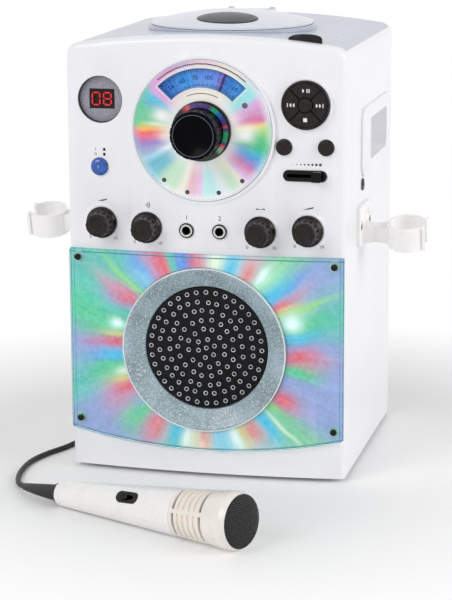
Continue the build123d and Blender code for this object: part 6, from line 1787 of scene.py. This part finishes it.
@dataclass
class ControlPanel(Assembly):
    """Knobs, buttons, display, fader and sockets on the front, with their plain marks."""

    KNOBS = ("mic_volume_knob", "echo_knob", "balance_knob", "volume_knob")
    PAD_PARTS = ("pad_next_button", "pad_play_button", "pad_back_button", "pad_stop_button",
                 "pad_centre_button")
    COATS = (
        Coat(KNOB_BLACK, (*KNOBS, *PAD_PARTS, "program_button", "repeat_button", "pad_bezel"),
             Edge.EVEN),
        Coat(POWER_BLUE, ("power_button",), Edge.SOFT),
        Coat(GLOSS_BLACK, ("fader_knob", "fader_track"), Edge.FINE),
        Coat(DISPLAY_GREY, ("display_face",)),
        Coat(DIGIT_RED, ("display_leds",)),
        Coat(BLACK, ("jack_sockets",), Edge.FINE))
    SIGN_OVER = 0.02 * MM   # how far a sign stands off its button
    # The rest of these sizes are in millimetres.
    SOCKET_RING = ((3.9, -0.3), (5.5, -0.3), (5.5, 0.05), (5.2, 0.25), (4.2, 0.25),
                   (3.9, 0.05))     # out from the axis, and forwards
    FIRST_DOT = (-11, 9.6)          # from the fader's middle
    DOT_STEP = 3.4
    DOT_RADIUS = (0.35, 0.13)       # the first one's, and by how much each next one has more
    ECHO_ARC = (1.2, 1.8, 1.5)      # the first one's inner and outer radius, and the step
    PLAY_SIGN = (-2.6, 1.6, 3.4)    # places of a triangle and two bars
    SKIP_SIGN = (-3.2, -0.4, 3)     # places of two triangles and a bar

    housing: Housing
    sockets: tuple[tuple[float, str], ...] = ((-15 * MM, "1"), (15 * MM, "2"))
    socket_high: float = 226 * MM
    socket_number: Spot = (237.5 * MM, 4.4 * MM)    # its height on the front and its size
    display_middle: Spot = (-94 * MM, 339.5 * MM)
    wall: Spot = (20.2 * MM, 20.95 * MM)            # radii of the display's dark wall
    wall_depth: Spot = (0.1 * MM, 3.65 * MM)
    digit_over: float = 0.75 * MM
    digits_at: tuple[tuple[float, bool], ...] = ((-5.2 * MM, False), (5.2 * MM, True))
    digit: Spot = (3.4 * MM, 5.4 * MM)              # half its width and half its height
    bar: float = 1.3 * MM
    bar_gap: float = 0.9 * MM
    bar_half: float = 2.0 * MM
    knob_ends: tuple[tuple[float, str], ...] = ((-140, "0"), (140, "10"))
    knob_number: Spot = (18.5 * MM, 3.0 * MM)       # its distance from the knob and its size
    fader: Spot = (91 * MM, 277.7 * MM)
    fader_dots: int = 8
    power_sign: Spot = (-99.0 * MM, 290.9 * MM)
    power_bar: Spot = (3.3 * MM, 5.5 * MM)          # its lower and upper end over the sign's ring
    power_ring: Spot = (0.8 * MM, 1.25 * MM)
    sign_line: float = 0.5 * MM
    sign_over_knob: float = 6 * MM
    wedge: Spot = (4.5 * MM, 1.2 * MM)
    echo_arcs: int = 3
    echo_clocks: Spot = (50, 130)
    echo_back: float = 2 * MM
    arrow: Spot = (4.6 * MM, 2.2 * MM)              # its tip and its foot from the middle
    pad: Spot = (91.5 * MM, 339.5 * MM)
    sign_out: float = 12.6 * MM                     # from the pad's middle to a sign
    sign_half: float = 1.7 * MM
    sign_reach: float = 2.8 * MM                    # length of a triangle
    play_bar: float = 0.9 * MM                      # width of a bar
    skip_bar: float = 0.7 * MM

    def build(self) -> None:
        """Dress every control and print the marks."""
        self.dress()
        self.jack_rings()
        self.display_wall()
        self.digits()
        self.front_marks()
        self.pad_marks()

    def jack_rings(self) -> None:
        """Pale ring on each microphone socket."""
        low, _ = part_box("jack_sockets")
        section = [(radius * MM, forwards * MM) for radius, forwards in self.SOCKET_RING]
        rings = [lathe("ring", section, facing_front(x, low.y, self.socket_high))
                 for x, _ in self.sockets]
        add_piece("jack_rings", joined("jack_rings", rings), NICKEL)

    def display_wall(self) -> None:
        """Dark wall round the display's face."""
        low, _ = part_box("display_face")
        (inner, outer), (foot, top) = self.wall, self.wall_depth
        x, z = self.display_middle
        wall = lathe("display_wall", [(inner, foot), (outer, foot), (outer, top), (inner, top)],
                     facing_front(x, low.y, z), steps=64)
        add_piece("display_wall", wall, DISPLAY_WALL)

    def digits(self) -> None:
        """Lit bars of the two digits."""
        low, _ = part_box("display_face")
        front = low.y - self.digit_over
        x, z = self.display_middle
        ink = Ink("lit_digits", lambda u, v, h: Vector((x + u, front - h, z + v)))
        wide, tall = self.digit
        reach = wide - self.bar_gap
        for middle, has_bar in self.digits_at:
            for level in (-tall, 0.0, tall) if has_bar else (-tall, tall):
                ink.stroke((middle - reach, level), (middle + reach, level), self.bar)
            for side in (-wide, wide):
                for level in (-tall / 2, tall / 2):
                    ink.stroke((middle + side, level - self.bar_half),
                               (middle + side, level + self.bar_half), self.bar)
        add_piece("lit_digits", ink.mesh(), DIGIT_LIT)

    def front_marks(self) -> None:
        """Marks on the white front."""
        ink = Ink("front_marks", self.housing.lay)
        for node in self.KNOBS:
            low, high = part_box(node)
            middle = ((low.x + high.x) / 2, (low.z + high.z) / 2)
            distance, size = self.knob_number
            for clock, text in self.knob_ends:
                ink.number(text, at_clock(clock, distance, middle), size)
        height, size = self.socket_number
        for x, text in self.sockets:
            ink.number(text, (x, height), size)
        self.fader_scale(ink)
        x, z = self.power_sign
        low, high = self.power_bar
        ink.stroke((x, z + low), (x, z + high), self.sign_line)
        ink.arc(*self.power_ring, centre=(x, z))
        self.knob_signs(ink)
        add_piece("front_marks", ink.mesh(), DARK_INK)

    def fader_scale(self, ink: Ink) -> None:
        """Row of dots over the fader that grow towards its high end.

        Args:
            ink: what the marks go into.
        """
        x, z = self.fader
        (left, up), (least, more) = self.FIRST_DOT, self.DOT_RADIUS
        for index in range(self.fader_dots):
            ink.dot((x + (index * self.DOT_STEP + left) * MM, z + up * MM),
                    (least + more * index) * MM)

    def knob_signs(self, ink: Ink) -> None:
        """Plain sign over each knob: wedges for loudness, arcs for echo, arrows for balance.

        Args:
            ink: what the signs go into.
        """
        long, half = self.wedge
        tip, foot = self.arrow
        inner, outer, step = self.ECHO_ARC
        for node in self.KNOBS:
            low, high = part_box(node)
            x, z = (low.x + high.x) / 2, high.z + self.sign_over_knob
            if node in ("mic_volume_knob", "volume_knob"):
                ink.outline([(x - long, z - half), (x + long, z - half), (x + long, z + half)])
            elif node == "echo_knob":
                for ring in range(self.echo_arcs):
                    ink.arc((inner + step * ring) * MM, (outer + step * ring) * MM,
                            *self.echo_clocks, (x - self.echo_back, z))
            else:
                for way in (-1, 1):
                    ink.outline([(x + way * tip, z), (x + way * foot, z - half),
                                 (x + way * foot, z + half)])
                ink.stroke((x - foot, z), (x + foot, z), self.sign_line)

    def pad_marks(self) -> None:
        """White signs on the pad's buttons."""
        signs = (self.next_sign, self.play_sign, self.back_sign, self.stop_sign)
        for node, sign in zip(self.PAD_PARTS, signs):
            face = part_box(node)[0].y - self.SIGN_OVER
            ink = Ink(node + "_sign", lambda u, v, h: Vector((u, face - h, v)))
            sign(ink)
            add_piece(node + "_sign", ink.mesh(), WHITE_INK, body_of(node))

    def play_sign(self, ink: Ink) -> None:
        """Triangle and two bars.

        Args:
            ink: what the marks go into.
        """
        x, z = self.pad[0], self.pad[1] + self.sign_out
        triangle, *bars = self.PLAY_SIGN
        self.triangle(ink, x + triangle * MM, z, 1)
        for offset in bars:
            self.upright(ink, x + offset * MM, z, self.play_bar)

    def stop_sign(self, ink: Ink) -> None:
        """Square."""
        x, z = self.pad[0], self.pad[1] - self.sign_out
        ink.stroke((x - self.sign_half, z), (x + self.sign_half, z), 2 * self.sign_half)

    def next_sign(self, ink: Ink) -> None:
        """Two triangles and a bar, to the right."""
        self.skip_sign(ink, 1)

    def back_sign(self, ink: Ink) -> None:
        """Two triangles and a bar, to the left."""
        self.skip_sign(ink, -1)

    def skip_sign(self, ink: Ink, way: int) -> None:
        """Two triangles and a bar.

        Args:
            ink: what the sign goes into.
            way: 1 to the right, -1 to the left.
        """
        x, z = self.pad[0] + way * self.sign_out, self.pad[1]
        *triangles, bar = self.SKIP_SIGN
        for offset in triangles:
            self.triangle(ink, x + way * offset * MM, z, way)
        self.upright(ink, x + way * bar * MM, z, self.skip_bar)

    def upright(self, ink: Ink, x: float, z: float, width: float) -> None:
        """Upright bar."""
        ink.stroke((x, z - self.sign_half), (x, z + self.sign_half), width)

    def triangle(self, ink: Ink, x: float, z: float, way: int) -> None:
        """Small triangle that starts at x and points to its way."""
        ink.outline([(x, z - self.sign_half), (x + way * self.sign_reach, z),
                     (x, z + self.sign_half)])


class Deck(Assembly):
    """Domed disc lid with its smoked window, the well under it and the drive."""

    COATS = (
        Coat(SHADED_LID, ("disc_lid",), Edge.EVEN),
        Coat(SMOKE, ("lid_window",)),
        Coat(SHADED_DECK, ("disc_well",), Edge.FINE),
        Coat(BLACK, ("open_button",), Edge.FINE),
        Coat(BLACK, ("spindle_hub",), Edge.CRISP),
        Coat(STEEL, ("drive_chassis", "guide_rods")),
        Coat(BLACK, ("laser_sled",), Edge.CRISP),
        Coat(IVORY, ("sled_gear",)))


class Sides(Assembly):
    """Hand grips and microphone holders on both side walls."""

    COATS = tuple(coat for side in ("right", "left") for coat in (
        Coat(GRIP_WHITE, (f"side_grip_{side}",), Edge.FINE),
        Coat(IVORY, (f"mic_holder_{side}",), Edge.EVEN)))


class Inside(Assembly):
    """Boards, potentiometers and the sockets at the back."""

    COATS = (
        Coat(STEEL, ("potentiometers",)),
        Coat(BOARD, ("control_board", "main_board")),
        Coat(NICKEL, ("rear_sockets",), Edge.CRISP))


@dataclass
class WireDome:
    """Woven wire over the microphone's dome: two families of wires, swept by Geometry Nodes."""

    pitch: float = 1.8 * MM
    wire: float = 0.32 * MM
    rise: float = 7.0 * MM
    rim_band: float = 1.2 * MM      # points this near to the rim's plane belong to the rim
    step: float = 2 * MM            # distance between a wire's points
    least_steps: int = 4

    def build(self) -> None:
        """Lay the wires over the CAD dome."""
        points = [vertex.co.copy() for vertex in frame["nodes"]["mic_grille"].data.vertices]
        boot = frame["nodes"]["mic_boot"].data.vertices
        tail = sum((vertex.co for vertex in boot), Vector()) / len(boot)
        low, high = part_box("mic_grille")
        nose = ((low + high) / 2 - tail).normalized()
        rim = max(point.dot(nose) for point in points) - self.rise
        ring = [point for point in points if abs(point.dot(nose) - rim) < self.rim_band]
        middle = sum(ring, Vector()) / len(ring)
        middle += nose * (rim - middle.dot(nose))
        radius = max((point - middle - nose * (point - middle).dot(nose)).length for point in ring)
        across = nose.cross(Vector((0, 0, 1))).normalized()
        up = across.cross(nose)
        ball = (radius ** 2 + self.rise ** 2) / (2 * self.rise)
        count = int((radius - self.wire) / self.pitch)
        reach = radius - self.wire
        lines = [self.line(middle, (nose, first, second), step * self.pitch, reach, ball)
                 for first, second in ((across, up), (up, across))
                 for step in range(-count, count + 1)]
        wires = Sweep().run("dome_wires", lines, self.wire, WIRE)
        add_piece("dome_wires", wires, WIRE, body_of("mic_grille"))

    def line(self, middle: Vector, axes: tuple[Vector, Vector, Vector], offset: float,
             radius: float, ball: float) -> list[Vector]:
        """Points of one wire at an offset from the dome's middle.

        Args:
            middle: centre of the dome's rim.
            axes: out of the dome, across the wire and along it.
            offset: how far from the middle the wire runs.
            radius: where the wires end.
            ball: radius of the ball that the dome is part of.

        Returns:
            The points in order.
        """
        nose, first, second = axes
        reach = math.sqrt(max(radius ** 2 - offset ** 2, 0.0))
        steps = max(self.least_steps, int(2 * reach / self.step))
        points = []
        for index in range(steps + 1):
            along = reach * (2 * index / steps - 1)
            sphere = math.sqrt(ball ** 2 - offset ** 2 - along ** 2)
            height = sphere - (ball - self.rise) + 0.5 * self.wire
            points.append(middle + nose * height + first * offset + second * along)
        return points


@dataclass
class Microphone(Assembly):
    """Pearly microphone with a ribbed neck and a black wire dome."""

    COATS = (
        Coat(PEARL, ("mic_handle",), Edge.FINE),
        Coat(BLACK, ("mic_switch_plate", "mic_switch"), Edge.CRISP),
        Coat(VENT_IVORY, ("mic_vent",), Edge.CRISP),
        Coat(FOAM_AND_SHADE, ("mic_grille",)),
        Coat(RUBBER, ("mic_boot",)),
        Coat(NICKEL, ("mic_plug",)))

    tail: Vector = field(default_factory=lambda: Vector((-101 * MM, -236 * MM, 11.13 * MM)))
    heading: float = -24.8
    taper: float = 4.08
    tail_radius: float = 10.8 * MM
    vent_start: float = 137 * MM
    vent_length: float = 39 * MM
    vent_ends: float = 9 * MM       # part of the neck that the grooves' middles leave free
    first_groove: float = 3.5 * MM
    grooves: int = 6
    deep: Spot = (1.28 * MM, 3 * MM)        # half the width and the depth of the end slots
    shallow: Spot = (0.98 * MM, 1 * MM)     # and of the grooves between them
    lining: Spot = (0.3 * MM, 0.12 * MM)    # how far the lining is under and over the floor

    def build(self) -> None:
        """Dress the microphone."""
        WireDome().build()
        self.groove_floors()
        self.dress()

    def groove_floors(self) -> None:
        """Dark lining on the floor of the two deep slots of the neck, a painted shade, and a warm
        tone in the shallow ones.
        """
        lean, turn = math.radians(self.taper), math.radians(self.heading)
        along = Vector((math.cos(lean) * math.cos(turn), math.cos(lean) * math.sin(turn),
                        math.sin(lean)))
        place = Matrix.Translation(self.tail) @ along.to_track_quat("Z", "Y").to_matrix().to_4x4()
        pitch = (self.vent_length - self.vent_ends) / (self.grooves - 1)
        dark, warm = [], []
        for step in range(self.grooves):
            at_end = step in (0, self.grooves - 1)
            middle = self.vent_start + self.first_groove + step * pitch
            half, depth = self.deep if at_end else self.shallow
            floor = self.tail_radius + middle * math.tan(lean) - depth
            inner, outer = floor - self.lining[0], floor + self.lining[1]
            low, high = middle - half, middle + half
            section = [(inner, low), (outer, low), (outer, high), (inner, high)]
            ring = lathe("groove", section, place, steps=96)
            (dark if at_end else warm).append(ring)
        # The dark lining is painted shade in the deep slots.
        for name, parts, finish in (("slot_cloth", dark, FOAM_AND_SHADE), ("rib_grooves", warm, RIB_PEACH)):
            add_piece(name, joined(name, parts), finish, body_of("mic_vent"))


def main() -> None:
    """Build the scene, piece by piece."""
    logging.basicConfig(level=logging.INFO, format="%(name)s: %(message)s")
    Studio().build()
    Cord().build()
    housing = Housing()
    stamp = Stamp()
    housing.build()
    LightBox(housing).build(stamp)
    TuningDial().build()
    ControlPanel(housing).build()
    Deck().dress()
    Sides().dress()
    Microphone().build()
    Inside().dress()


if __name__ == "__main__":
    main()
